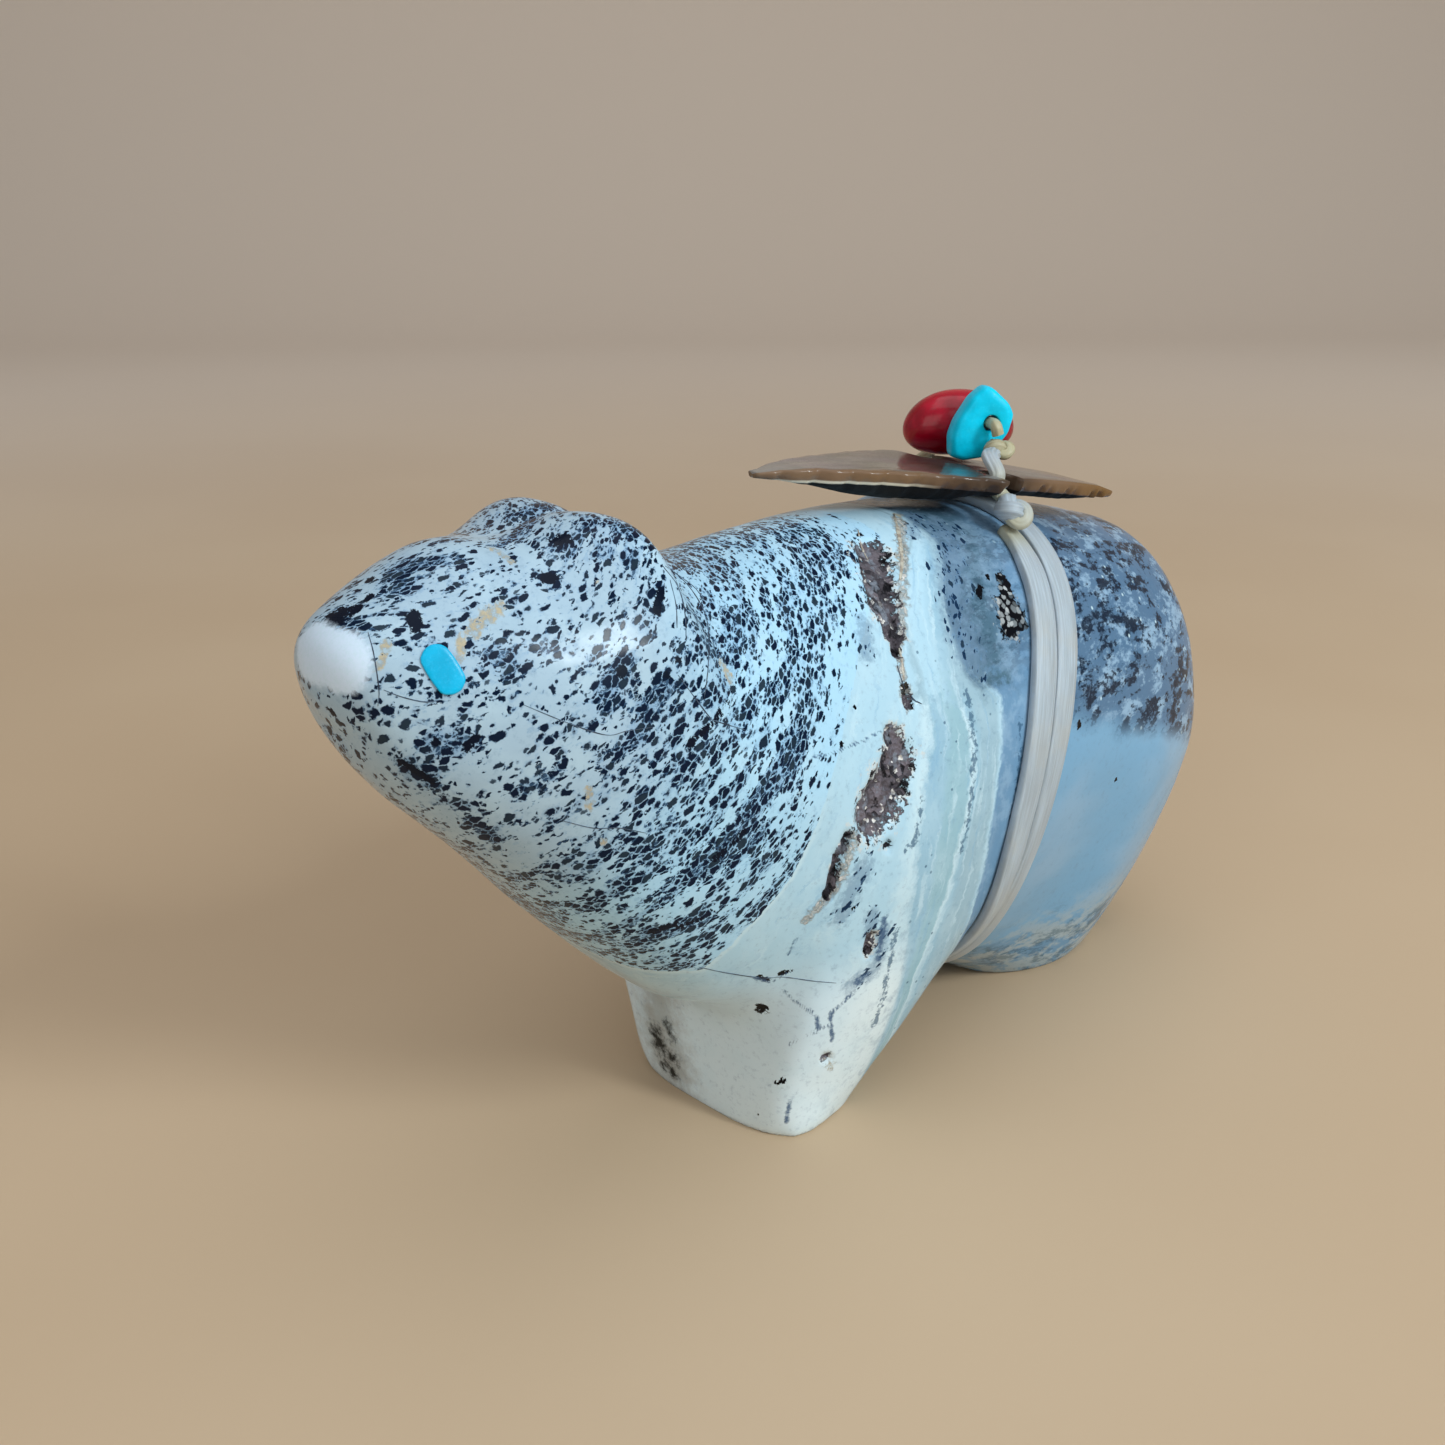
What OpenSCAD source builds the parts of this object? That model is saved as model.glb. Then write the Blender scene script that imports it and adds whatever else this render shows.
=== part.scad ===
// Carved stone bear with a bundle tied on its back
// A polished bear of spotted stone carries a shell arrowhead, a turquoise nugget and a coral
// bead on flat sinew that is wound twice round the belly.
// Millimetres. The bear stands on z = 0 and faces -Y, so its left side is +X.
// The carving is a smooth skin over ribs. Each rib runs from the back line to the under line.
// "At" is a rib's distance behind the nose, measured on the back line. "Lean" is how far its
// lower end lies ahead of its upper end. A foot's under line runs below zero: the sole is
// ground flat there.

/* [Head] */
// Width of the blunt end of the nose
nose_w = 3.4; // [2.4:0.1:4.6]
// Height of the top of the nose
nose_top = 32; // [31:0.1:33]
// Height of the underside of the nose
nose_under = 29.2; // [28.6:0.1:30]
// Distance of the rounded rim behind the nose
rim_at = 0.4; // [0.2:0.1:1]
// Height of the top of the rim
rim_top = 33.6; // [33:0.1:34.4]
// Height of the underside of the rim
rim_under = 27.9; // [27:0.1:28.6]
// Width over the rim
rim_w = 6.2; // [5:0.1:7.4]
// How far the underside of nose and rim lies behind their top
nose_slope = 1; // [0:0.1:2]
// Distance of the snout rib behind the nose
snout_at = 3.3; // [2.4:0.1:4.4]
// Height of the snout
snout_top = 35; // [34:0.1:36]
// Height of the chin
snout_under = 25.2; // [24:0.1:26.4]
// Width of the snout
snout_w = 9.8; // [8.4:0.1:11.4]
// Distance of the cheeks behind the nose
cheek_at = 7.3; // [6:0.1:8.6]
// Height of the forehead
cheek_top = 35.7; // [34.6:0.1:36.8]
// Height of the throat below the cheeks
cheek_under = 20.8; // [19:0.1:22.4]
// Width over the cheeks
cheek_w = 13.8; // [12:0.1:15.6]
// Distance of the brow behind the nose
brow_at = 11.9; // [10.4:0.1:13.2]
// Height of the brow
brow_top = 35.4; // [34.2:0.1:36.6]
// Height of the throat below the brow
brow_under = 15.5; // [14:0.1:17]
// Width over the brow
brow_w = 17; // [15:0.1:19]
// Distance of the rib behind the ears
poll_at = 16.5; // [15.2:0.1:17.8]
// Height of the dip behind the ears
poll_top = 33.8; // [32.6:0.1:35]
// Height of the throat below the ears
poll_under = 10.6; // [9:0.1:12]
// Width behind the ears
poll_w = 19; // [17:0.1:21]

/* [Ears] */
// Distance of the ear tips behind the nose
ear_at = 14.2; // [13:0.1:15.4]
// Height that an ear stands out of the head
ear_h = 2.1; // [1:0.1:3]
// Slope length in front of an ear
ear_front = 3.7; // [2.4:0.1:5]
// Slope length behind an ear
ear_back = 1.6; // [1.2:0.1:2.6]
// Angle of an ear from the middle line
ear_angle = 22; // [16:1:30]
// Angle over which an ear fades out
ear_spread = 18; // [12:1:24]
// Height of the crown between the ears
crown_h = 1.2; // [0:0.1:2]
// Slope length behind the crown
crown_back = 2.8; // [2:0.1:4]
// Height of the ridge that runs down from an ear
ridge_h = 0.9; // [0:0.1:1.6]
// Angle of the ridge from the middle line
ridge_angle = 50; // [42:1:60]
// Angle over which the ridge fades out
ridge_spread = 20; // [14:1:28]

/* [Body] */
// Distance of the nape behind the nose
nape_at = 21.3; // [20:0.1:22.6]
// Height of the nape
nape_top = 33.1; // [32:0.1:34.2]
// Height of the chest below the nape
nape_under = 7; // [5.6:0.1:8.4]
// Width at the nape
nape_w = 19.6; // [17.6:0.1:21.6]
// Distance of the elbow rib behind the nose
elbow_at = 36.3; // [35:0.1:37.6]
// Height of the back over the elbows
elbow_top = 33.4; // [32.2:0.1:34.6]
// Height of the arch behind the elbows
elbow_under = 2.6; // [1.8:0.1:3.6]
// Width over the elbows
elbow_w = 23.2; // [21:0.1:25.4]
// Lean of the elbow rib
elbow_lean = 4.5; // [3.6:0.1:5.4]
// Distance of the girth behind the nose
girth_at = 43; // [41.6:0.1:44.4]
// Height of the back at the girth
girth_top = 32.8; // [31.6:0.1:34]
// Height of the belly
girth_under = 4.9; // [4:0.1:6]
// Width at the girth
girth_w = 23.4; // [21.4:0.1:25.4]
// Lean of the girth
girth_lean = 6.7; // [5.8:0.1:7.6]
// Distance of the rump behind the nose
rump_at = 63.7; // [63.2:0.1:64.4]
// Height of the rump's upper end
rump_top = 20.8; // [19.6:0.1:22]
// Height of the rump's lower end
rump_under = 5; // [4:0.1:6]
// Width of the rump
rump_w = 13.2; // [11.6:0.1:15]
// Lean of the rump
rump_lean = 1; // [0.4:0.1:1.6]
// Distance of the hindmost point behind the nose
dock_at = 64.3; // [64:0.1:65.6]
// Height of the hindmost point
dock_top = 14; // [12.6:0.1:15]
// Width and height of the flat left at the hindmost point
dock_w = 0.8; // [0.6:0.1:1.4]

/* [Legs] */
// Distance of the front toes behind the nose
front_toe_at = 25.7; // [24.6:0.1:27]
// Height of the withers over the front toes
front_toe_top = 33.4; // [32.2:0.1:34.6]
// Under line at the front toes
front_toe_under = -1.6; // [-2.6:0.1:-0.6]
// Width over the shoulders at the front toes
front_toe_w = 20.8; // [18.8:0.1:22.8]
// Lean of the front toes
front_toe_lean = 3.3; // [2.4:0.1:4.2]
// Distance of the front heels behind the nose
front_heel_at = 30.5; // [29.4:0.1:31.8]
// Height of the back over the front heels
front_heel_top = 33.6; // [32.4:0.1:34.8]
// Under line at the front heels
front_heel_under = -4.5; // [-5.6:0.1:-3.4]
// Width over the shoulders at the front heels
front_heel_w = 22.2; // [20.2:0.1:24.2]
// Lean of the front heels
front_heel_lean = 3.6; // [2.8:0.1:4.4]
// Share of its width that the front leg keeps at the sole
front_taper = 0.7; // [0.6:0.01:0.8]
// Distance of the hind toes behind the nose
hind_toe_at = 49.3; // [48:0.1:50.6]
// Height of the back over the hind toes
hind_toe_top = 31.7; // [30.6:0.1:32.8]
// Under line at the hind toes
hind_toe_under = 1; // [0.2:0.1:2]
// Width over the thighs at the hind toes
hind_toe_w = 23.4; // [21.4:0.1:25.4]
// Lean of the hind toes
hind_toe_lean = 5.5; // [4.6:0.1:6.4]
// Distance of the hips behind the nose
hip_at = 55.8; // [54.6:0.1:57]
// Height of the back over the hips
hip_top = 30.3; // [29.2:0.1:31.4]
// Under line below the hips
hip_under = -3.2; // [-4.2:0.1:-2.2]
// Width over the hips
hip_w = 22.8; // [20.8:0.1:24.8]
// Lean of the hips
hip_lean = 5; // [4:0.1:6]
// Distance of the hind heels behind the nose
hind_heel_at = 61.9; // [61:0.1:62.6]
// Height of the back over the hind heels
hind_heel_top = 27.8; // [26.6:0.1:29]
// Under line at the hind heels
hind_heel_under = -1.7; // [-2.6:0.1:-0.8]
// Width over the thighs at the hind heels
hind_heel_w = 19.6; // [17.8:0.1:21.4]
// Lean of the hind heels
hind_heel_lean = 4; // [3.2:0.1:4.8]
// Share of its width that the hind leg keeps at the sole
hind_taper = 0.68; // [0.58:0.01:0.78]

/* [Eyes] */
// Length of an inlaid eye
eye_len = 2.2; // [1.6:0.1:3]
// Width of an inlaid eye
eye_w = 1.3; // [1:0.1:1.5]
// Depth of an eye in its socket
eye_depth = 1.2; // [0.8:0.1:1.8]
// Height of an eye over the stone round it
eye_proud = 0.1; // [0:0.05:0.2]
// Angle of the eyes from the middle line
eye_angle = 65; // [56:1:74]
// Slant of an eye, lower end to the rear
eye_slant = 16; // [0:1:30]
// Glue line round an eye in its socket
eye_glue = 0.05; // [0.02:0.01:0.1]

/* [Arrowhead] */
// Length of the blade from its tip to the barbs
blade_len = 14; // [12:0.5:16]
// Width of the blade at the barbs
blade_w = 10.8; // [9:0.2:12.4]
// Width of the blunt tip
tip_w = 1; // [0.6:0.1:1.6]
// Length of the notches
notch_len = 2.4; // [2:0.1:3]
// Width of the neck between the notches
neck_w = 4.4; // [3.4:0.1:5.4]
// Length of the base behind the notches
base_len = 10; // [8.5:0.5:12]
// Width of the base behind the notches
base_w = 8; // [6.6:0.2:9.4]
// Width of the end of the base
base_end_w = 4; // [3:0.2:5]
// Length of the worn corners at the end of the base
base_corner = 0.8; // [0.4:0.1:1.2]
// Thickness of the shell
shell_t = 0.8; // [0.6:0.1:1]
// Radius to which the shell is curved along its length
shell_bend_r = 130; // [100:5:300]
// Depth of the flake scars along the blade
flake = 0.2; // [0:0.05:0.3]
// Turn of the arrowhead, base to the left
arrow_yaw = 12; // [8:1:16]
// Fall of the arrowhead, base lower
arrow_pitch = 8; // [6:1:9]
// Tilt of the arrowhead, left edge lower
arrow_roll = 2; // [0:1:3]
// Place of the arrowhead to the left of the middle line
arrow_side = 1.9; // [1:0.1:2.8]
// Height of the arrowhead over the sinew on the back
arrow_lift = 0.7; // [0.3:0.1:0.9]

/* [Beads] */
// Width of the turquoise nugget
nugget_w = 3.8; // [3.4:0.1:4.2]
// Height of the turquoise nugget
nugget_h = 4.4; // [4:0.1:4.9]
// Thickness of the turquoise nugget along the strand
nugget_t = 2; // [1.6:0.1:2.6]
// Radius that rounds the rim of the nugget
nugget_round = 3.1; // [2.8:0.1:3.6]
// Length of the coral bead
coral_len = 7; // [6.2:0.1:7.4]
// Diameter of the coral bead
coral_d = 4; // [3.6:0.1:4.4]
// Distance of the coral bead's middle to the right of the strand
coral_side = 0.9; // [0.6:0.1:1.4]
// Turn of the strand through the beads, from straight across the back
strand_turn = 40; // [34:1:46]
// Place of the nugget behind the arrowhead's notches
nugget_behind = 1.4; // [1:0.1:1.8]
// Place of the nugget to the right of the arrowhead's middle line
nugget_right = 0.8; // [0.4:0.1:1.2]

/* [Sinew] */
// Width of the flat sinew
sinew_w = 1.5; // [1.1:0.1:1.5]
// Thickness of the flat sinew
sinew_t = 0.6; // [0.4:0.1:0.7]
// Distance from one turn to the next
sinew_pitch = 2; // [2:0.05:2.4]
// Distance that the middle of the flank pulls the sinew forward
sinew_bow = 3.2; // [2:0.1:4]
// Place of the sinew on the back, behind the girth
sinew_behind = 1; // [0.5:0.1:1.5]
// Thickness of the strand through the beads
strand_d = 0.7; // [0.5:0.05:0.75]
// Thickness of the tie between the lower and the upper knot
tie_d = 1; // [0.8:0.1:1.2]
// Size of the knots
knot_d = 1.3; // [1:0.1:1.4]
// Place of the upper knot to the left of the arrowhead's middle line
knot_left = 0.8; // [0.4:0.1:1.4]
// Place of the upper knot behind the arrowhead's notches
knot_behind = 0.4; // [0:0.1:0.8]

/* [Fits] */
// Clearance between the sinew and the stone
sinew_gap = 0.12; // [0.1:0.01:0.2]
// Clearance between resting pieces of the bundle
rest_gap = 0.3; // [0.2:0.05:0.4]
// Clearance of the coral bead over the arrowhead, where the nugget stands
coral_gap = 0.05; // [0:0.05:0.2]
// Clearance between a strand's end and its knot
knot_gap = 0.1; // [0.05:0.05:0.2]
// Clearance round the strand in the holes of the beads
bore_gap = 0.15; // [0.1:0.05:0.25]

/* [Hidden] */

// Squareness of the rounded sections: 2 is an ellipse
back_curve = 2.2;
chin_curve = 2.3;
chest_curve = 2.6;
leg_curve = 3;
belly_curve = 2.4;
// Share of its width that each lower half keeps at the under line
jaw_taper = 0.95;
chest_taper = 0.84;
belly_taper = 0.88;
// Rib numbers that other pieces are placed by
SNOUT = 2;
GIRTH = 10;
// Rings along the carving and points round it
rings_per_rib = 6;
skin_points = 44;
// Half the carving's length, which puts the origin below its middle
mid_y = dock_at / 2;

// Each rib: top y, top z, under y, under z, half width, lower curve, lower taper
function rib(at, top, under, w, lean, curve, taper) =
    [at - mid_y, top, at - mid_y - lean, under, w / 2, curve, taper];
ribs = [
    rib(0, nose_top, nose_under, nose_w, -nose_slope, chin_curve, 1),
    rib(rim_at, rim_top, rim_under, rim_w, -nose_slope, chin_curve, 1),
    rib(snout_at, snout_top, snout_under, snout_w, 0, chin_curve, 1),
    rib(cheek_at, cheek_top, cheek_under, cheek_w, 0, chin_curve, jaw_taper),
    rib(brow_at, brow_top, brow_under, brow_w, 0, chest_curve, jaw_taper),
    rib(poll_at, poll_top, poll_under, poll_w, 0, chest_curve, chest_taper),
    rib(nape_at, nape_top, nape_under, nape_w, 0, chest_curve, chest_taper),
    rib(front_toe_at, front_toe_top, front_toe_under, front_toe_w, front_toe_lean,
        leg_curve, front_taper),
    rib(front_heel_at, front_heel_top, front_heel_under, front_heel_w, front_heel_lean,
        leg_curve, front_taper),
    rib(elbow_at, elbow_top, elbow_under, elbow_w, elbow_lean, chest_curve, belly_taper),
    rib(girth_at, girth_top, girth_under, girth_w, girth_lean, belly_curve, belly_taper),
    rib(hind_toe_at, hind_toe_top, hind_toe_under, hind_toe_w, hind_toe_lean,
        leg_curve, hind_taper),
    rib(hip_at, hip_top, hip_under, hip_w, hip_lean, leg_curve, hind_taper),
    rib(hind_heel_at, hind_heel_top, hind_heel_under, hind_heel_w, hind_heel_lean,
        leg_curve, hind_taper),
    rib(rump_at, rump_top, rump_under, rump_w, rump_lean, chin_curve, belly_taper),
    rib(dock_at, dock_top, dock_top - dock_w, dock_w, 0, chin_curve, 1)
];

// Smooth curve through a list of rows, where row i lies at u = i
function slope(p, i) =
    i == 0 ? p[1] - p[0]
    : i == len(p) - 1 ? p[i] - p[i - 1]
    : (p[i + 1] - p[i - 1]) / 2;
function along(p, u) =
    let (i = min(len(p) - 2, max(0, floor(u))), t = u - i)
    p[i] * (2 * t - 3) * t * t + p[i] + slope(p, i) * (t - 1) * (t - 1) * t
    + p[i + 1] * (3 - 2 * t) * t * t + slope(p, i + 1) * (t - 1) * t * t;

function unit(v) = v / norm(v);
function power(c, e) = sign(c) * pow(abs(c), e);
function hill(d, front, back) = exp(-pow(d / (d < 0 ? front : back), 2));
function fade(a, centre, spread) = exp(-pow((a - centre) / spread, 2));

// Height of ears, crown and ridges over the plain skin, a degrees round from the back line
ear_y = ear_at - mid_y;
crown_spread = 16;
function bump(y, a) =
    let (turn = abs(a - 360 * round(a / 360)))
    hill(y - ear_y, ear_front, ear_back)
        * (ear_h * fade(turn, ear_angle, ear_spread)
           + ridge_h * fade(turn, ridge_angle, ridge_spread))
    + crown_h * hill(y - ear_y, ear_front, crown_back) * fade(turn, 0, crown_spread);

// A point of the skin, a degrees round from the back line towards the left flank
taper_from = 0.35;
function rib_point(r, a) =
    let (e = 2 / (cos(a) >= 0 ? back_curve : r[5]),
         down = (1 - power(cos(a), e)) / 2,
         k = max(0, (down - taper_from) / (1 - taper_from)),
         keep = 1 + (r[6] - 1) * k * k * (3 - 2 * k),
         p = [r[4] * power(sin(a), e) * keep,
              r[0] + (r[2] - r[0]) * down,
              r[1] + (r[3] - r[1]) * down],
         middle = [0, (r[0] + r[2]) / 2, (r[1] + r[3]) / 2])
    p + unit(p - middle) * bump(r[0], a);
function skin(u, a) = rib_point(along(ribs, u), a);
near_turn = 1;
near_step = 0.05;
function skin_down(u, a) = unit(skin(u, a + near_turn) - skin(u, a - near_turn));
function skin_back(u, a) = unit(skin(u + near_step, a) - skin(u - near_step, a));
function skin_out(u, a) = unit(cross(skin_down(u, a), skin_back(u, a)));

// Puts its children on the skin: x runs down the flank, z out of the stone
module on_skin(u, a, slant = 0) {
    p = skin(u, a);
    z = skin_out(u, a);
    down = skin_down(u, a);
    x = down * cos(slant) + cross(z, down) * sin(slant);
    y = cross(z, x);
    multmatrix([[x[0], y[0], z[0], p[0]],
                [x[1], y[1], z[1], p[1]],
                [x[2], y[2], z[2], p[2]],
                [0, 0, 0, 1]]) children();
}

// Closed solid over rings of equally many points, with a fan at each end
module rings_solid(rings) {
    n = len(rings);
    m = len(rings[0]);
    points = concat([for (r = rings) each r], [center_of(rings[0]), center_of(rings[n - 1])]);
    walls = [for (i = [0 : n - 2], j = [0 : m - 1])
        let (a = i * m + j, b = i * m + (j + 1) % m)
        each [[a, a + m, b + m], [a, b + m, b]]];
    ends = [for (j = [0 : m - 1])
        let (k = (j + 1) % m)
        each [[n * m, j, k], [n * m + 1, (n - 1) * m + k, (n - 1) * m + j]]];
    polyhedron(points, concat(walls, ends), convexity = 6);
}
function sum(list, i = 0) = i == len(list) - 1 ? list[i] : list[i] + sum(list, i + 1);
function center_of(ring) = sum(ring) / len(ring);

// Round strand along a smooth curve through points, of 8 sides
tube_sides = 8;
tube_steps = 4;
steep = 0.9;
module tube(route, d) {
    n = (len(route) - 1) * tube_steps;
    path = [for (i = [0 : n]) along(route, i / tube_steps)];
    ahead = [for (i = [0 : n]) unit(path[min(n, i + 1)] - path[max(0, i - 1)])];
    first = unit(cross(ahead[0], abs(ahead[0][2]) < steep ? [0, 0, 1] : [1, 0, 0]));
    sides = carried(ahead, [first]);
    rings_solid([for (i = [0 : n])
        let (v = cross(ahead[i], sides[i]))
        [for (j = [0 : tube_sides - 1])
            let (t = 360 * j / tube_sides)
            path[i] + d / 2 * (sides[i] * cos(t) + v * sin(t))]]);
}
// Side directions carried along a curve without twist
function carried(ahead, done) =
    let (i = len(done))
    i == len(ahead) ? done
    : carried(ahead, concat(done, [unit(done[i - 1] - ahead[i] * (done[i - 1] * ahead[i]))]));

// Winding of the flat sinew: two turns on each flank, one over the back
wrap_from = 26;
wrap_turns = 2 - 2 * wrap_from / 360;
wrap_steps = 96;
wrap_sides = 8;
wide_step = 0.2;
wide_turn = 2;
function rib_step(u, a) = norm(skin(u + wide_step, a) - skin(u - wide_step, a)) / wide_step / 2;
function wrap_middle(a) =
    GIRTH + (sinew_behind - sinew_bow * pow(sin(a), 4)) / rib_step(GIRTH, a);
function wrap_u(a, behind) =
    let (u = wrap_middle(a), aside = cross_share(u, a))
    u + behind / aside / rib_step(u, a);
// Share of a step along the ribs that goes square across the winding
function cross_share(u, a) =
    let (from = skin(wrap_middle(a - wide_turn), a - wide_turn),
         to = skin(wrap_middle(a + wide_turn), a + wide_turn))
    norm(cross(unit(to - from), skin_back(u, a)));
function wrap_angle(i) = wrap_from + 360 * wrap_turns * i / wrap_steps;
function wrap_behind(i) = sinew_pitch * wrap_turns * (i / wrap_steps - 0.5);
function wrap_place(i) = wrap_u(wrap_angle(i), wrap_behind(i));
wrap_out = [for (i = [0 : wrap_steps]) skin_out(wrap_place(i), wrap_angle(i))];
wrap_path = [for (i = [0 : wrap_steps])
    skin(wrap_place(i), wrap_angle(i)) + wrap_out[i] * (sinew_gap + sinew_t / 2)];
wrap_ahead = [for (i = [0 : wrap_steps])
    unit(wrap_path[min(wrap_steps, i + 1)] - wrap_path[max(0, i - 1)])];
wrap_side = [for (i = [0 : wrap_steps]) unit(cross(wrap_out[i], wrap_ahead[i]))];

// Least gap of the winding to itself, between points at least half a turn apart
half_turn = floor(wrap_steps / wrap_turns / 2);
edges = [for (i = [0 : wrap_steps], s = [-1, 1]) wrap_path[i] + s * wrap_side[i] * sinew_w / 2];
least_gap = min([for (i = [0 : wrap_steps - half_turn], j = [i + half_turn : wrap_steps],
                      s = [0, 1], t = [0, 1])
    norm(edges[2 * i + s] - edges[2 * j + t])]);
echo(least_gap_of_sinew_wrap = least_gap);

// Frame of the arrowhead: x to its left edge, y from the tip to the base, z up
arrow_len = blade_len + notch_len + base_len;
seat_y = blade_len + notch_len;
crossing = skin(wrap_u(0, 0), 0);
seat = crossing + [arrow_side, 0, sinew_gap + sinew_t + arrow_lift + shell_t / 2];
function turn_x(p, a) = [p[0], p[1] * cos(a) - p[2] * sin(a), p[1] * sin(a) + p[2] * cos(a)];
function turn_y(p, a) = [p[0] * cos(a) + p[2] * sin(a), p[1], p[2] * cos(a) - p[0] * sin(a)];
function turn_z(p, a) = [p[0] * cos(a) - p[1] * sin(a), p[0] * sin(a) + p[1] * cos(a), p[2]];
function arrow_point(p) =
    seat + turn_z(turn_x(turn_y(p - [0, seat_y, 0], arrow_roll), -arrow_pitch), -arrow_yaw);
module on_arrow() {
    translate(seat)
        rotate([0, 0, -arrow_yaw])
            rotate([-arrow_pitch, 0, 0])
                rotate([0, arrow_roll, 0])
                    translate([0, -seat_y, 0]) children();
}

// Outline of the nugget round its hole, in shares of its width and height
nugget_outline = [[-0.63, -0.19], [-0.61, -0.45], [-0.41, -0.51], [-0.07, -0.47],
                  [0.12, -0.32], [0.29, -0.15], [0.37, 0.11], [0.29, 0.26],
                  [0.02, 0.47], [-0.12, 0.49], [-0.32, 0.34], [-0.54, 0.04]];

// Frame of the strand through the beads: x to its near end, z up
nugget_foot = -min([for (p = nugget_outline) p[1]]);
on_plate = shell_t / 2 + rest_gap;
strand_mid = arrow_point([-nugget_right, seat_y + nugget_behind, on_plate])
    + [0, 0, nugget_foot * nugget_h];
function strand_point(p) = strand_mid + turn_z(p, -strand_turn);
module on_strand() {
    translate(strand_mid) rotate([0, 0, -strand_turn]) children();
}
coral_x = -(nugget_t / 2 + rest_gap + coral_d / 2);
coral_drop = nugget_foot * nugget_h + rest_gap - coral_gap - coral_d / 2;

module carved_form() {
    n = (len(ribs) - 1) * rings_per_rib;
    rings_solid([for (i = [0 : n])
        let (r = along(ribs, i / rings_per_rib))
        [for (j = [0 : skin_points - 1]) rib_point(r, 360 * j / skin_points)]]);
}

module eye_shape(grow) {
    offset_x = (eye_len - eye_w) / 2;
    square([2 * offset_x, eye_w + 2 * grow], center = true);
    for (s = [-1, 1]) {
        translate([s * offset_x, 0]) circle(d = eye_w + 2 * grow, $fn = 32);
    }
}

module eye_plug(grow, below, above) {
    on_skin(SNOUT, eye_angle, eye_slant)
        translate([0, 0, -below]) linear_extrude(below + above) eye_shape(grow);
}

module bear_body() {
    room = 80;
    socket_above = 2;
    color("lightsteelblue")
        difference() {
            intersection() {
                carved_form();
                translate([-room / 2, -room / 2, 0]) cube([room, room, room]);
            }
            eye_plug(eye_glue, eye_depth + eye_glue, socket_above);
            mirror([1, 0, 0]) eye_plug(eye_glue, eye_depth + eye_glue, socket_above);
        }
}

module left_eye() {
    color("deepskyblue") eye_plug(0, eye_depth, eye_proud);
}

module right_eye() {
    color("deepskyblue") mirror([1, 0, 0]) eye_plug(0, eye_depth, eye_proud);
}

// Outline of the arrowhead, its blade chipped along both edges
flakes = 14;
blade_bulge = 0.9;
module arrow_outline() {
    blade = [for (k = [0 : flakes])
        [tip_w / 2 + (blade_w - tip_w) / 2 * pow(k / flakes, blade_bulge) - (k % 2) * flake,
         blade_len * k / flakes]];
    base = [[base_w / 2, seat_y],
            [(base_end_w + base_corner) / 2, arrow_len - base_corner],
            [base_end_w / 2, arrow_len]];
    left = concat(blade, base);
    right = [for (i = [len(left) - 1 : -1 : 0]) [-left[i][0], left[i][1]]];
    difference() {
        polygon(concat(left, right));
        for (s = [-1, 1]) {
            translate([s * (neck_w + notch_len) / 2, blade_len + notch_len / 2]) {
                circle(d = notch_len, $fn = 32);
                translate([s * blade_w / 2, 0]) square([blade_w, notch_len], center = true);
            }
        }
    }
}

module arrowhead() {
    color("rosybrown")
        on_arrow()
            intersection() {
                translate([0, 0, -shell_bend_r / 2])
                    linear_extrude(shell_bend_r) arrow_outline();
                translate([0, arrow_len / 2, -shell_bend_r])
                    rotate([0, 90, 0])
                        difference() {
                            cylinder(r = shell_bend_r + shell_t / 2, h = 2 * blade_w,
                                     center = true, $fn = 360);
                            cylinder(r = shell_bend_r - shell_t / 2, h = 3 * blade_w,
                                     center = true, $fn = 360);
                        }
            }
}

module turquoise_bead() {
    across = [for (p = nugget_outline) p[0]];
    nugget_middle = (min(across) + max(across)) / 2;
    color("deepskyblue")
        on_strand()
            difference() {
                intersection() {
                    translate([-nugget_t / 2, 0, 0])
                        rotate([90, 0, 90])
                            linear_extrude(nugget_t)
                                polygon([for (p = nugget_outline)
                                    [p[0] * nugget_w, p[1] * nugget_h]]);
                    translate([0, nugget_middle * nugget_w, 0])
                        sphere(r = nugget_round, $fn = 64);
                }
                bead_hole(nugget_t);
            }
}

module bead_hole(deep) {
    rotate([0, 90, 0])
        cylinder(d = strand_d + 2 * bore_gap, h = 2 * deep, center = true, $fn = 32);
}

// Oblong coral bead, drilled crosswise beside its middle
coral_points = 20;
coral_bulge = 2.4;
module coral_bead() {
    profile = [for (k = [0 : coral_points])
        let (t = -cos(180 * k / coral_points))
        [coral_d / 2 * sqrt(max(0, 1 - pow(abs(t), coral_bulge))), t * coral_len / 2]];
    color("firebrick")
        on_strand()
            translate([coral_x, 0, 0])
                difference() {
                    translate([0, -coral_side, -coral_drop])
                        rotate([-90, 0, 0]) rotate_extrude($fn = 64) polygon(profile);
                    bead_hole(coral_d);
                }
}

// Flat sinew, one unbroken band, rounded at its edges
band_edge = 0.5;
module sinew_wrap() {
    color("antiquewhite")
        rings_solid([for (i = [0 : wrap_steps])
            [for (j = [0 : wrap_sides - 1])
                let (t = 360 * (j + 0.5) / wrap_sides)
                wrap_path[i] + wrap_side[i] * sinew_w / 2 * power(cos(t), band_edge)
                    + wrap_out[i] * sinew_t / 2 * power(sin(t), band_edge)]]);
}

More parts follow.
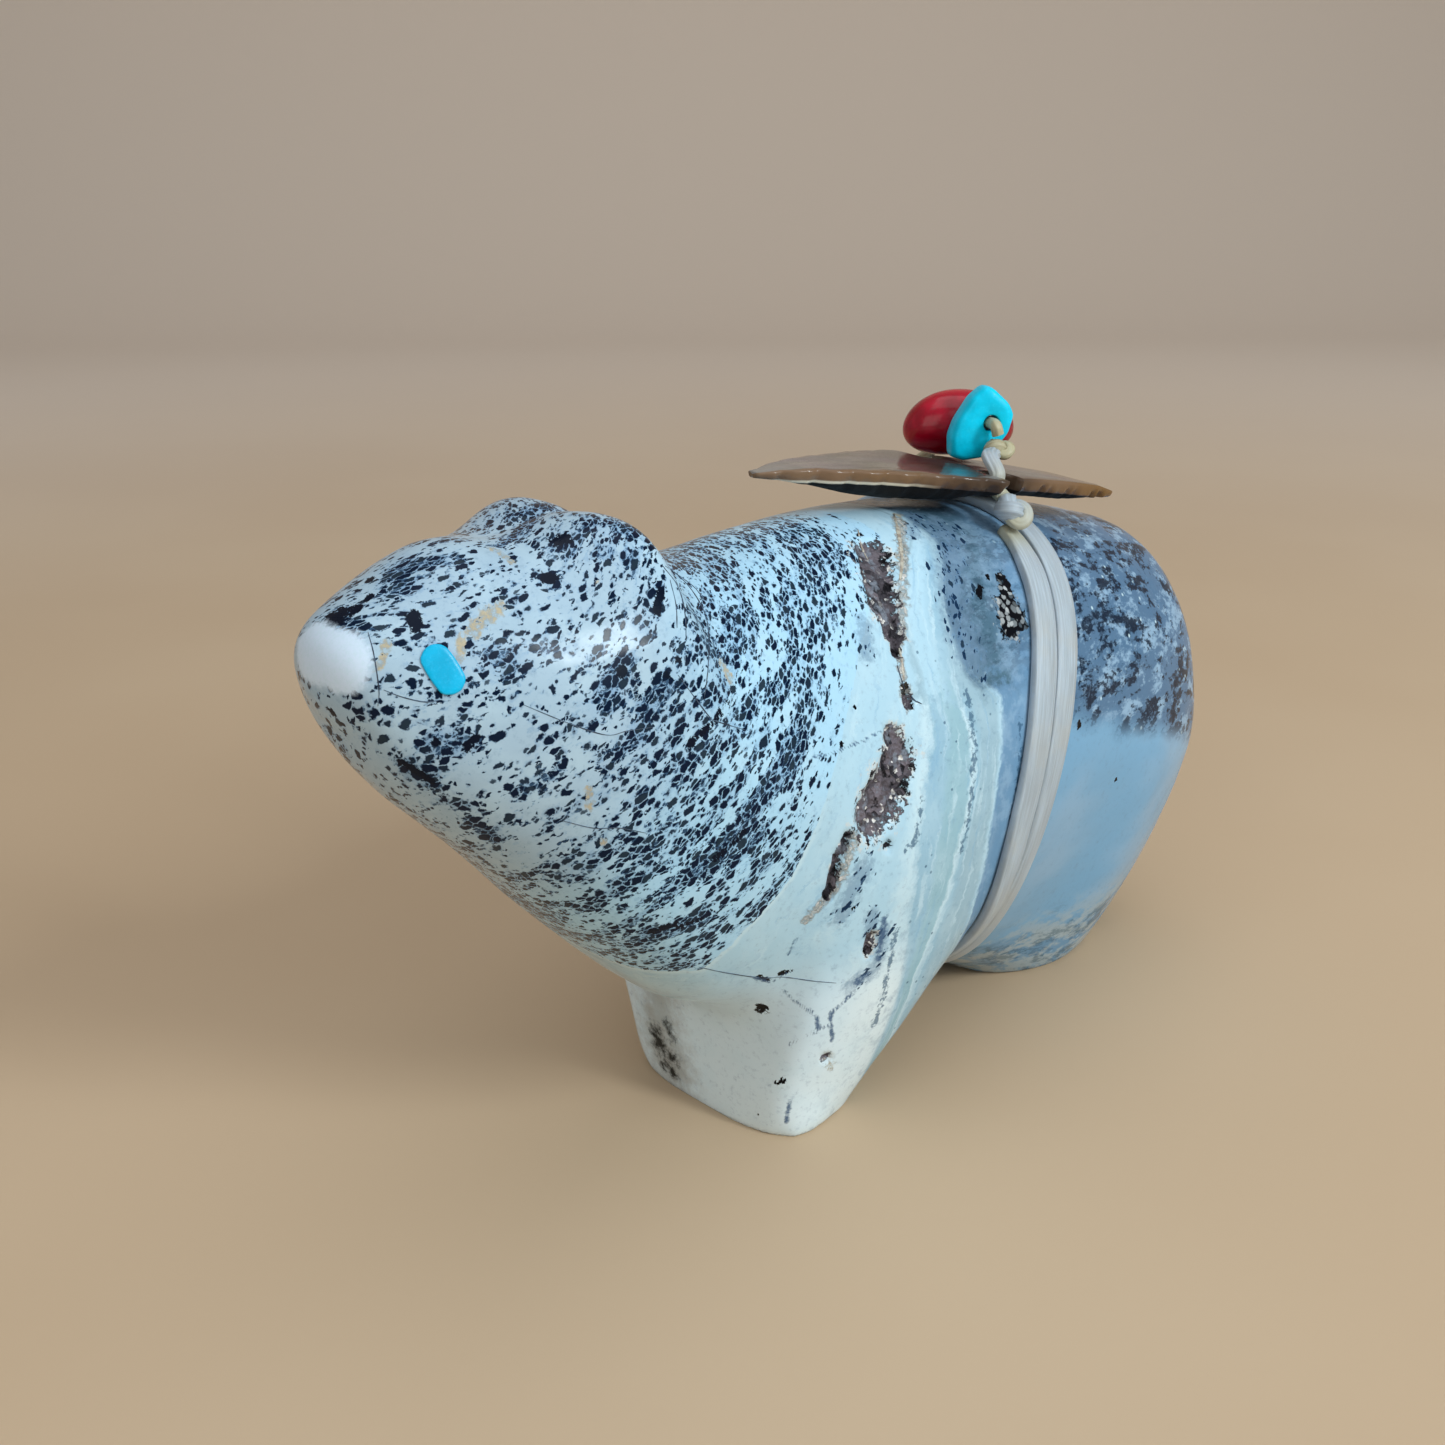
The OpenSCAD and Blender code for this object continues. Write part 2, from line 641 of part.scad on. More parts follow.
// Knots, each a few rounded folds of sinew. Folds are placed in shares of a knot's radius:
// along the winding, across it and out of it, or along the arrowhead's own axes
knot_r = knot_d / 2;
knot_rise = sinew_t / 2 + knot_gap + knot_r;
function on_wrap(i, f) =
    wrap_path[i] + wrap_out[i] * knot_rise
    + (wrap_ahead[i] * f[0] + wrap_side[i] * f[1] + wrap_out[i] * f[2]) * knot_r;
function on_shell(f) =
    arrow_point([knot_left, seat_y + knot_behind, on_plate + knot_r] + f * knot_r);
left_folds = [for (f = [[0, 0, 0], [0.2, -0.9, 0], [-0.8, -0.2, 0.3]]) on_wrap(0, f)];
right_folds = [for (f = [[0, 0, 0], [-0.2, 0.9, 0], [0.8, 0.2, 0.3]]) on_wrap(wrap_steps, f)];
bead_folds = [for (f = [[0, 0, 0], [0.4, 0.5, 0.5]]) on_shell(f)];
module knot(folds) {
    for (f = folds) translate(f) sphere(r = knot_r, $fn = 24);
}
// Point just outside a fold, on the way to another point
function leaving(fold, to) = fold + unit(to - fold) * (knot_r + knot_gap);

module left_knot() {
    color("ivory") knot(left_folds);
}

module bead_knot() {
    color("khaki") knot(bead_folds);
}

module right_knot() {
    color("ivory") knot(right_folds);
}

// Tie from the lower knot through the near notch, up against the upper knot
module left_tie() {
    notch_y = blade_len + notch_len / 2;
    beside = neck_w / 2 + rest_gap + tie_d / 2;
    in_notch = arrow_point([beside, notch_y, -shell_t / 2]);
    at_rim = arrow_point([beside, notch_y, shell_t / 2]);
    over_neck = arrow_point([neck_w / 2, notch_y, on_plate + tie_d / 2]);
    color("khaki")
        tube([leaving(left_folds[2], in_notch), in_notch, at_rim, over_neck,
              leaving(bead_folds[0], over_neck)], tie_d);
}

// Strand from the upper knot through both beads, down the right side to its knot
module bead_strand() {
    near_bend = strand_point([nugget_t / 2 + strand_d, 0, 0]);
    exit_x = coral_x - coral_d / 2;
    hang = strand_point([exit_x - 2 * strand_d, -strand_d, -coral_d / 2]);
    color("khaki")
        tube([leaving(bead_folds[1], near_bend), near_bend,
              strand_point([0, 0, 0]), strand_point([coral_x, 0, 0]),
              strand_point([exit_x, 0, 0]), strand_point([exit_x - strand_d, 0, 0]),
              hang, leaving(right_folds[2], hang)], strand_d);
}

bear_body();
left_eye();
right_eye();
arrowhead();
turquoise_bead();
coral_bead();
sinew_wrap();
left_knot();
left_tie();
bead_knot();
bead_strand();
right_knot();
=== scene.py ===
"""Looks of a carved stone bear that carries a tied bundle on its back."""
import math

import bpy
import numpy as np
from mathutils import Matrix, Vector, noise
from mathutils.bvhtree import BVHTree


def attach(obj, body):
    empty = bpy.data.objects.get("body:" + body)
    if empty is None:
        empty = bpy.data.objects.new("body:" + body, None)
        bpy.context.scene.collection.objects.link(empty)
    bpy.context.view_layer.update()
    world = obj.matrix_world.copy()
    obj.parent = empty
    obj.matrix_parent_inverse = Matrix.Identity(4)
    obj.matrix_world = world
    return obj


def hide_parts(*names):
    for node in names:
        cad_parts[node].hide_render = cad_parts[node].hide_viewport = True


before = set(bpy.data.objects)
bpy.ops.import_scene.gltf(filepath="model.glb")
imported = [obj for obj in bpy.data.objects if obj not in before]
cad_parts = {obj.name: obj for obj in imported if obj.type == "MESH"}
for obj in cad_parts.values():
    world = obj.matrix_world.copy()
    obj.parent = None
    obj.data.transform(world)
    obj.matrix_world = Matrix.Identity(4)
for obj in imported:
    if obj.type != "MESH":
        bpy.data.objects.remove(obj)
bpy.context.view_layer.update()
MM = 0.001

# Camera of the photograph: degrees, millimetres and pixels
VIEW_AZIMUTH = 44.3
VIEW_ELEVATION = 20.24
VIEW_ROLL = -0.43
VIEW_AIM = (-4.31, -3.72, 21.07)
VIEW_DISTANCE = 84.6
PHOTO_PX = 1445
FOCAL_PX = 1438.6
SENSOR_MM = 36.0
CLIP_START = 5.0


def view_axes():
    """Right, up and backward directions of the photograph's camera."""
    a, e, r = (math.radians(v) for v in (VIEW_AZIMUTH, VIEW_ELEVATION, VIEW_ROLL))
    back = Vector((math.sin(a) * math.cos(e), -math.cos(a) * math.cos(e), math.sin(e)))
    right = Vector((math.cos(a), math.sin(a), 0))
    up = back.cross(right)
    return right * math.cos(r) + up * math.sin(r), up * math.cos(r) - right * math.sin(r), back


RIGHT, UP, BACK = view_axes()
EYE_POINT = Vector(VIEW_AIM) + BACK * VIEW_DISTANCE


def add_camera():
    camera = bpy.data.cameras.new("photo_camera")
    camera.sensor_width = SENSOR_MM
    camera.lens = SENSOR_MM * FOCAL_PX / PHOTO_PX
    camera.clip_start = CLIP_START * MM
    item = bpy.data.objects.new("photo_camera", camera)
    axes = Matrix((RIGHT, UP, BACK)).transposed().to_4x4()
    item.matrix_world = Matrix.Translation(EYE_POINT * MM) @ axes
    bpy.context.scene.collection.objects.link(item)
    bpy.context.scene.camera = item


# The carving's ribs in millimetres, as the solids have them: distance behind the nose, top,
# underside, width, lean, squareness of the lower half, share of the width kept below
RIBS = np.array([
    (0.0, 32.0, 29.2, 3.4, -1.0, 2.3, 1.00),
    (0.4, 33.6, 27.9, 6.2, -1.0, 2.3, 1.00),
    (3.3, 35.0, 25.2, 9.8, 0.0, 2.3, 1.00),
    (7.3, 35.7, 20.8, 13.8, 0.0, 2.3, 0.95),
    (11.9, 35.4, 15.5, 17.0, 0.0, 2.6, 0.95),
    (16.5, 33.8, 10.6, 19.0, 0.0, 2.6, 0.84),
    (21.3, 33.1, 7.0, 19.6, 0.0, 2.6, 0.84),
    (25.7, 33.4, -1.6, 20.8, 3.3, 3.0, 0.70),
    (30.5, 33.6, -4.5, 22.2, 3.6, 3.0, 0.70),
    (36.3, 33.4, 2.6, 23.2, 4.5, 2.6, 0.88),
    (43.0, 32.8, 4.9, 23.4, 6.7, 2.4, 0.88),
    (49.3, 31.7, 1.0, 23.4, 5.5, 3.0, 0.68),
    (55.8, 30.3, -3.2, 22.8, 5.0, 3.0, 0.68),
    (61.9, 27.8, -1.7, 19.6, 4.0, 3.0, 0.68),
    (63.7, 20.8, 5.0, 13.2, 1.0, 2.3, 0.88),
    (64.3, 14.0, 13.2, 0.8, 0.0, 2.3, 1.00)])
LENGTH = 64.3
BACK_CURVE = 2.2
TAPER_FROM = 0.35
SNOUT = 2
GIRTH = 10

# Ears, crown and the ridge that runs down from an ear: millimetres and degrees
EAR_AT, EAR_HEIGHT, EAR_FRONT, EAR_BACK = 14.2, 2.1, 3.7, 1.6
EAR_ANGLE, EAR_SPREAD = 22, 18
CROWN_HEIGHT, CROWN_BACK, CROWN_SPREAD = 1.2, 2.8, 16
RIDGE_HEIGHT, RIDGE_ANGLE, RIDGE_SPREAD = 0.9, 50, 20


def along(rows, u):
    """Smooth curve through rows of numbers, where row i lies at u = i."""
    rows = np.asarray(rows, float)
    u = np.atleast_1d(np.asarray(u, float))
    slopes = np.gradient(rows, axis=0)
    i = np.clip(np.floor(u).astype(int), 0, len(rows) - 2)
    t = (u - i)[:, None]
    return (rows[i] * ((2 * t - 3) * t * t + 1) + slopes[i] * (t - 1) ** 2 * t
            + rows[i + 1] * (3 - 2 * t) * t * t + slopes[i + 1] * (t - 1) * t * t)


def power(c, e):
    """A power that keeps the sign."""
    return np.sign(c) * np.abs(c) ** e


def hill(d, front, back):
    """From 1 at d = 0 down to 0, at its own pace on both sides."""
    return np.exp(-(d / np.where(d < 0, front, back)) ** 2)


def bump(y, a):
    """Height of ears, crown and ridges, a degrees round from the back line."""
    turn = np.abs(a - 360 * np.round(a / 360))
    d = y - (EAR_AT - LENGTH / 2)
    lobes = (EAR_HEIGHT * np.exp(-((turn - EAR_ANGLE) / EAR_SPREAD) ** 2)
             + RIDGE_HEIGHT * np.exp(-((turn - RIDGE_ANGLE) / RIDGE_SPREAD) ** 2))
    crown = CROWN_HEIGHT * np.exp(-(turn / CROWN_SPREAD) ** 2)
    return hill(d, EAR_FRONT, EAR_BACK) * lobes + hill(d, EAR_FRONT, CROWN_BACK) * crown


def skin(u, a):
    """Points of the carving in millimetres, for arrays u along it and a degrees round it."""
    u, a = np.broadcast_arrays(np.asarray(u, float), np.asarray(a, float))
    at, top, under, width, lean, curve, taper = (
        v.reshape(u.shape) for v in along(RIBS, u.ravel()).T)
    c, s = np.cos(np.radians(a)), np.sin(np.radians(a))
    e = 2 / np.where(c >= 0, BACK_CURVE, curve)
    down = (1 - power(c, e)) / 2
    k = np.maximum(0, (down - TAPER_FROM) / (1 - TAPER_FROM))
    keep = 1 + (taper - 1) * k * k * (3 - 2 * k)
    y0 = at - LENGTH / 2
    p = np.stack([width / 2 * power(s, e) * keep, y0 - lean * down, top + (under - top) * down], -1)
    middle = np.stack([np.zeros_like(y0), y0 - lean / 2, (top + under) / 2], -1)
    out = p - middle
    out /= np.linalg.norm(out, axis=-1, keepdims=True)
    return p + out * bump(y0, a)[..., None]


def unit(v):
    v = np.asarray(v, float)
    return v / np.linalg.norm(v, axis=-1, keepdims=True)


# Steps to both sides that find the skin's directions: degrees round it, ribs along it
TURN_STEP, RIB_STEP = 1, 0.05


def skin_axes(u, a):
    """Directions down the flank, backward along the skin and out of it."""
    down = unit(skin(u, np.add(a, TURN_STEP)) - skin(u, np.subtract(a, TURN_STEP)))
    back = unit(skin(np.add(u, RIB_STEP), a) - skin(np.subtract(u, RIB_STEP), a))
    return down, back, unit(np.cross(down, back))


def smooth(x, low, high):
    """Eased from 0 to 1 while x goes from low to high."""
    t = np.clip((x - low) / (high - low), 0, 1)
    return t * t * (3 - 2 * t)


def field(points, scale, seed):
    """Soft noise from -1 to 1 at points, with features about 1 / scale millimetres wide."""
    shift = Vector((seed, seed * 1.7, seed * 0.3))
    return np.array([noise.noise(Vector(p) * scale + shift) for p in points])


def waves(points, parts):
    """Soft noises added up, each by its height, scale and seed."""
    return sum(height * field(points, scale, seed) for height, scale, seed in parts)


def runs(path):
    """Length along a path up to each of its points."""
    return np.r_[0, np.cumsum(np.linalg.norm(np.diff(path, axis=0), axis=1))]


def circle(count, shift=0.0):
    """Cosines and sines at even steps round a circle."""
    turns = [2 * math.pi * (j + shift) / count for j in range(count)]
    return [(math.cos(t), math.sin(t)) for t in turns]


# Marks of the stone, by pixels of the photograph, with a radius in millimetres
LAYER_LINES = [
    [(909, 520), (905, 560), (903, 614), (917, 663), (929, 704), (934, 740), (929, 765), (920, 835),
     (909, 922), (893, 1004), (870, 1060)],
    [(930, 541), (938, 582), (946, 635), (954, 680), (962, 704), (973, 735), (975, 773), (971, 798),
     (959, 853), (950, 892), (934, 930), (915, 975)],
    [(940, 541), (944, 602), (956, 630), (970, 671), (999, 696), (1002, 724), (997, 786), (991, 823),
     (984, 869)],
    [(1003, 520), (1022, 560), (1033, 610), (1037, 650), (1034, 700), (1027, 743), (1020, 800),
     (1008, 850), (990, 890)]]
SPOT_EDGE = [(880, 535), (870, 590), (860, 650), (845, 720), (830, 780), (815, 830), (790, 880), (745, 930),
             (700, 970)]
SPOT_EDGE_LEAN = 0.85
PITS = [([(873, 552), (880, 580), (884, 602)], 1.45), ([(886, 605), (894, 632)], 0.95),
        ([(894, 632), (898, 652)], 0.5), ([(894, 736), (899, 758)], 0.9),
        ([(899, 762), (893, 785)], 1.7), ([(890, 788), (876, 812)], 2.0)]
CRUSTS = [([(899, 520), (902, 560), (900, 640)], 0.45),
          ([(854, 836), (844, 872), (832, 893), (806, 920)], 0.40),
          ([(905, 690), (909, 704)], 0.5), ([(898, 654), (903, 676)], 0.35)]
BROWN_HOLES = [([(848, 838), (838, 858), (833, 880), (828, 896)], 0.42),
               ([(872, 937), (869, 952)], 0.48), ((826, 1058), 0.5), ((888, 846), 0.4),
               ((909, 700), 0.6)]
DENDRITES = [([(864, 866), (852, 890), (842, 915)], 1.0), ([(872, 914), (870, 932)], 0.7),
             ([(884, 930), (874, 970), (850, 985)], 0.8),
             ([(945, 530), (950, 580), (958, 625), (975, 660)], 1.6), ([(915, 515), (911, 535)], 0.8),
             ([(864, 622), (866, 654)], 0.8)]
CRYSTALS = [([(1002, 579), (1008, 596)], 0.70), ([(1008, 606), (1010, 628)], 1.15), ((1020, 620), 0.90),
            ([(905, 688), (910, 704)], 0.42)]
DASH_LINES = [([(966, 690), (974, 735), (971, 800), (962, 850)], 0.40),
              ([(1020, 720), (1018, 780), (1006, 840)], 0.40),
              ([(895, 930), (886, 983), (874, 1026)], 0.45),
              ([(922, 800), (916, 840), (905, 850)], 0.35)]
BLOTS = [([(403, 572), (398, 584)], 1.3), ([(425, 565), (462, 560)], 0.7), ((562, 545), 1.8),
         ((549, 578), 1.2), ((337, 618), 1.5), ([(500, 545), (530, 520)], 0.9),
         ([(515, 516), (548, 508)], 0.8), ((592, 522), 0.7), ((625, 528), 0.8), ((607, 552), 0.6),
         ((628, 557), 0.6), ((499, 657), 1.3), ((612, 690), 1.9),
         ([(640, 705), (665, 685)], 0.8), ([(430, 742), (476, 744)], 0.9), ([(400, 762), (436, 784)], 1.0),
         ([(440, 800), (466, 806)], 0.8), ([(470, 822), (492, 836)], 0.9), ([(708, 868), (750, 828)], 1.3),
         ([(748, 817), (796, 747)], 1.0), ([(651, 932), (700, 919)], 1.0), ((729, 616), 1.0),
         ((775, 691), 0.9), ([(520, 790), (560, 770)], 0.8), ([(600, 760), (640, 735)], 0.8)]
INK_SPOTS = [((336, 618), 0.75), ((356, 609), 0.36), ((371, 580), 0.32), ((368, 598), 0.28),
             ([(412, 615), (416, 628)], 0.34), ((331, 712), 0.30), ((342, 724), 0.18),
             ([(660, 592), (657, 612)], 0.28), ((667, 675), 0.24), ((678, 659), 0.24), ((622, 672), 0.36),
             ((562, 540), 0.60), ((549, 578), 0.45), ((435, 742), 0.28), ([(466, 748), (476, 738)], 0.24),
             ([(402, 762), (430, 780)], 0.30), ([(651, 932), (676, 922)], 0.25),
             ([(680, 927), (700, 919)], 0.20), ([(689, 745), (721, 713)], 0.24),
             ([(714, 860), (746, 832)], 0.25), ((762, 1008), 0.52), ([(780, 974), (790, 971)], 0.26),
             ([(758, 976), (768, 980)], 0.20), ([(778, 1082), (783, 1080)], 0.26), ((757, 1113), 0.24),
             ((825, 1057), 0.30), ((860, 535), 0.30), ((858, 686), 0.14), ((855, 707), 0.17),
             ((841, 744), 0.22), ((1079, 725), 0.34), ([(979, 596), (980, 588)], 0.26), ((987, 577), 0.26),
             ((854, 908), 0.22), ((1116, 780), 0.26)]
TAN_MARKS = [([(470, 633), (486, 618), (500, 608)], 0.47), ([(459, 658), (462, 642)], 0.32),
             ([(387, 643), (379, 668)], 0.30), ([(722, 664), (730, 678)], 0.48),
             ([(588, 788), (589, 808)], 0.30), ((603, 841), 0.25), ((799, 793), 0.25),
             ([(897, 514), (900, 560)], 0.40), ((830, 1066), 0.45), ((596, 583), 0.22),
             ([(490, 547), (512, 562)], 0.24)]
BLUE_VEINS = [([(783, 990), (797, 1004), (812, 1012)], 0.22), ([(817, 1016), (818, 1030), (790, 1043)], 0.24),
              ([(817, 1030), (829, 1024)], 0.20), ([(830, 1012), (832, 1042)], 0.24),
              ([(830, 1012), (842, 1004), (853, 993)], 0.26), ([(752, 977), (770, 982), (790, 972)], 0.22),
              ([(884, 918), (878, 960)], 0.40), ([(866, 975), (858, 982)], 0.50),
              ([(790, 1100), (786, 1122)], 0.24), ([(796, 940), (788, 955)], 0.20),
              ([(812, 758), (836, 752), (860, 742), (882, 731)], 0.16)]
SOOT_MARKS = [([(656, 1032), (660, 1044), (671, 1058)], 0.95), ([(668, 1026), (671, 1034)], 0.75),
              ([(664, 1066), (674, 1074)], 0.70)]
# Painted shade: a warm darkening over the left side of the front leg, where it turns from the light
LEG_SHADE_MARKS = [([(656, 995), (660, 1035), (672, 1068)], 3.2)]
NOSE_PATCH = [([(308, 652), (342, 662)], 1.55)]
MARKS = {"druse": PITS + BROWN_HOLES, "dendrite": DENDRITES, "dashes": DASH_LINES, "tan": TAN_MARKS,
         "blot": BLOTS, "ink": INK_SPOTS, "crust": CRUSTS, "leg_shade": LEG_SHADE_MARKS, "veins": BLUE_VEINS,
         "crystals": CRYSTALS, "soot": SOOT_MARKS, "nose": NOSE_PATCH}
PAINTED = ("layer", "behind_spots", "spots", "leg", "mottle", *MARKS)

# Least and last thickness of a layer, and the line above which the rump is mottled, in millimetres
LEAST_LAYER, LAST_LAYER = 0.2, 20.0
RUMP_LINE_Y, RUMP_LINE_Z, RUMP_LINE_SLOPE = 12.0, 20.5, -0.36
RUMP_WAVES = [(0.8, 0.35, 8.0)]


# Shader graphs
class Shader:
    """A material's node graph, built from small calls that return sockets."""

    def __init__(self, name):
        self.material = bpy.data.materials.new(name)
        self.material.use_nodes = True
        self.tree = self.material.node_tree
        self.tree.nodes.clear()

    def add(self, kind, inputs, **settings):
        node = self.tree.nodes.new("ShaderNode" + kind)
        for key, value in settings.items():
            setattr(node, key, value)
        for key, value in inputs.items():
            if isinstance(value, bpy.types.NodeSocket):
                self.tree.links.new(value, node.inputs[key])
            else:
                node.inputs[key].default_value = value
        return node

    def math(self, operation, a, b=0.0):
        return self.add("Math", {0: a, 1: b}, operation=operation).outputs[0]

    def plus(self, a, b, factor=1.0):
        """The value a, and b times a factor added to it."""
        return self.add("Math", {0: b, 1: factor, 2: a}, operation="MULTIPLY_ADD").outputs[0]

    def times(self, *values):
        product = values[0]
        for value in values[1:]:
            product = self.math("MULTIPLY", product, value)
        return product

    def ramp(self, value, low, high, start=0.0, end=1.0):
        """Eased from start to end while the value goes from low to high."""
        inputs = {"Value": value, "From Min": low, "From Max": high, "To Min": start, "To Max": end}
        return self.add("MapRange", inputs, interpolation_type="SMOOTHSTEP").outputs[0]

    def vector(self, operation, a, b):
        return self.add("VectorMath", {0: a, 1: b}, operation=operation).outputs[0]

    def scaled(self, vector, factor):
        return self.add("VectorMath", {0: vector, "Scale": factor}, operation="SCALE").outputs[0]

    def length(self, vector):
        return self.add("VectorMath", {0: vector}, operation="LENGTH").outputs["Value"]

    def axes(self, vector):
        return self.add("SeparateXYZ", {0: vector}).outputs

    def split(self, colour):
        return self.add("SeparateColor", {0: colour}).outputs

    def mix(self, amount, a, b):
        return self.add("Mix", {0: amount, 6: a, 7: b}, data_type="RGBA").outputs[2]

    def over(self, base, tone, *amounts):
        """A tone laid over the base, as thick as the product of the amounts."""
        return self.mix(self.times(*amounts), base, tone)

    def steps(self, value, stops):
        """Colour by value, through a list of places from 0 to 1 and their colours."""
        node = self.add("ValToRGB", {0: value})
        scale = node.color_ramp.elements
        while len(scale) < len(stops):
            scale.new(1.0)
        for mark, (at, tone) in zip(scale, stops):
            mark.position = at
            mark.color = tone
        return node.outputs[0]

    def noise(self, vector, scale, detail=2.0, rough=0.5, fourth=None):
        inputs = {"Vector": vector, "Scale": scale, "Detail": detail, "Roughness": rough}
        if fourth is None:
            return self.add("TexNoise", inputs).outputs
        return self.add("TexNoise", inputs | {"W": fourth}, noise_dimensions="4D").outputs

    def grain(self, *settings):
        """A noise from 0 to 1."""
        return self.noise(*settings)[0]

    def centred(self, *settings):
        """A noise from about -0.5 to 0.5."""
        return self.math("SUBTRACT", self.grain(*settings), 0.5)

    def stirred(self, *settings):
        """A noise of vectors, each side from about -0.5 to 0.5."""
        return self.vector("SUBTRACT", self.noise(*settings)["Color"], (0.5, 0.5, 0.5))

    def two_grains(self, *settings):
        """Two noises of the same kind that differ in place."""
        return self.split(self.noise(*settings)["Color"])[:2]

    def cells(self, vector, scale, fourth=None, **settings):
        inputs = {"Vector": vector, "Scale": scale}
        if fourth is not None:
            inputs["W"] = fourth
            settings["voronoi_dimensions"] = "4D"
        return self.add("TexVoronoi", inputs, **settings).outputs

    def flecks(self, vector, scale, share, edge, heart):
        """Round flecks in a share of the cells, from their edge to their full heart."""
        cell = self.cells(vector, scale)
        rare = self.math("LESS_THAN", self.split(cell["Color"])[0], share)
        return self.times(rare, self.ramp(cell["Distance"], edge, heart))

    def value(self, name):
        return self.add("Attribute", {}, attribute_name=name).outputs["Fac"]

    def place(self, name):
        return self.add("Attribute", {}, attribute_name=name).outputs["Vector"]

    def millimetres(self):
        return self.scaled(self.add("TexCoord", {}).outputs["Object"], 1 / MM)

    def bump(self, height, strength, distance, normal=None):
        inputs = {"Height": height, "Strength": strength, "Distance": distance * MM}
        if normal is not None:
            inputs["Normal"] = normal
        return self.add("Bump", inputs).outputs[0]

    def finish(self, **inputs):
        named = {key.replace("_", " "): value for key, value in inputs.items()}
        shader = self.add("BsdfPrincipled", named)
        self.add("OutputMaterial", {"Surface": shader.outputs[0]})
        return self.material


def rgb(r, g, b):
    return (r, g, b, 1.0)


# Layers of the stone: they lie like shells round a point near the head
LAYER_CENTRE = (-5.2, -25.6, 36.7)
FACE_MIDDLE = (0.0, -27.0, 31.0)
SPOT_STRETCH = 1.9
RUMP_DRAWN = 0.5
STREAK_STRETCH = 6.0
PALE = rgb(0.40, 0.65, 0.82)
HEAD = rgb(0.37, 0.51, 0.62)
MILK = rgb(0.42, 0.63, 0.75)
BRIGHT = rgb(0.55, 0.73, 0.81)
POND = rgb(0.31, 0.50, 0.62)
GREEN = rgb(0.30, 0.49, 0.57)
CREAM = rgb(0.32, 0.48, 0.57)
SLATE = rgb(0.15, 0.29, 0.45)
TEAL = rgb(0.072, 0.145, 0.190)
STEEL = rgb(0.195, 0.395, 0.59)
LEG = rgb(0.585, 0.755, 0.87)
# Warm tone of the painted shade on the leg's left side
LEG_SHADE_TONE = rgb(0.23, 0.185, 0.125)
LEG_TIP = rgb(0.74, 0.86, 0.90)
NOSE = rgb(0.64, 0.77, 0.91)
TAN = rgb(0.48, 0.40, 0.25)
OLIVE = rgb(0.22, 0.185, 0.115)
INK = rgb(0.002, 0.009, 0.028)
COAL = rgb(0.0015, 0.002, 0.004)
GREY_HEART = rgb(0.018, 0.036, 0.050)
BLUE = rgb(0.007, 0.026, 0.065)
SMUDGE = rgb(0.14, 0.23, 0.34)
HAZE = rgb(0.12, 0.27, 0.48)
NAVY = rgb(0.002, 0.010, 0.028)
RUMP = rgb(0.070, 0.145, 0.250)
RUMP_PALE = rgb(0.30, 0.46, 0.62)
RUMP_CREAM = rgb(0.44, 0.50, 0.50)
DASH = rgb(0.035, 0.10, 0.18)
VEIN_BLUE = rgb(0.050, 0.105, 0.205)
SOOT = rgb(0.010, 0.011, 0.009)
FACET = rgb(0.42, 0.45, 0.46)
RIND = rgb(0.66, 0.67, 0.64)
PIT_DARK = rgb(0.022, 0.021, 0.027)
PIT_MAUVE = rgb(0.175, 0.152, 0.175)
PIT_ASH = rgb(0.22, 0.25, 0.30)
PIT_HOLE = rgb(0.004, 0.004, 0.006)
GLINT = rgb(0.78, 0.77, 0.74)

# Colours across the layers behind the spots, counted in layers from the end of the spots
LOW_LAYERS = [(0.00, MILK), (0.80, MILK), (0.93, BRIGHT), (1.05, POND), (1.35, POND), (1.50, GREEN),
              (1.88, GREEN), (1.95, BRIGHT), (2.10, POND), (2.30, CREAM), (2.85, CREAM), (2.97, MILK),
              (3.06, SLATE), (4.00, SLATE), (4.10, STEEL), (5.00, STEEL)]
HIGH_LAYERS = [(0.00, MILK), (0.85, MILK), (0.95, CREAM), (1.10, MILK), (1.50, MILK), (1.80, POND),
               (2.05, CREAM), (2.50, CREAM), (2.90, TEAL), (3.40, TEAL), (3.75, SLATE), (4.10, STEEL),
               (5.00, STEEL)]
LAYER_COUNT = 5.0


def torn(g, at, name, by, *limits, sway=0.0):
    """A painted mark with a torn outline, which may sway too."""
    mark = g.plus(at[name], at["ragged"], by)
    if sway:
        mark = g.plus(mark, at["uneven"], sway)
    return g.ramp(mark, *limits)


def stone_places(g):
    """Painted values, coordinates and noises that the stone's colours share."""
    at = {name: g.value(name) for name in PAINTED}
    p = g.millimetres()
    uneven = g.centred(p, 1.1, 6.0, 0.70)
    edge = g.plus(at["behind_spots"], uneven, 0.5)
    shell, from_face = (g.length(g.vector("SUBTRACT", p, middle)) for middle in (LAYER_CENTRE, FACE_MIDDLE))
    at.update(p=p, uneven=uneven, ragged=g.centred(p, 2.6, 5.0, 0.70), stir=g.stirred(p, 1.3, 3.0, 0.6),
              edge=edge, spotted=g.ramp(edge, 0.03, -0.03), shell=g.plus(shell, uneven, 0.6),
              from_face=from_face, height=g.axes(p)[2])
    at["marked"] = torn(g, at, "tan", 2.8, 0.10, 0.60)
    return at


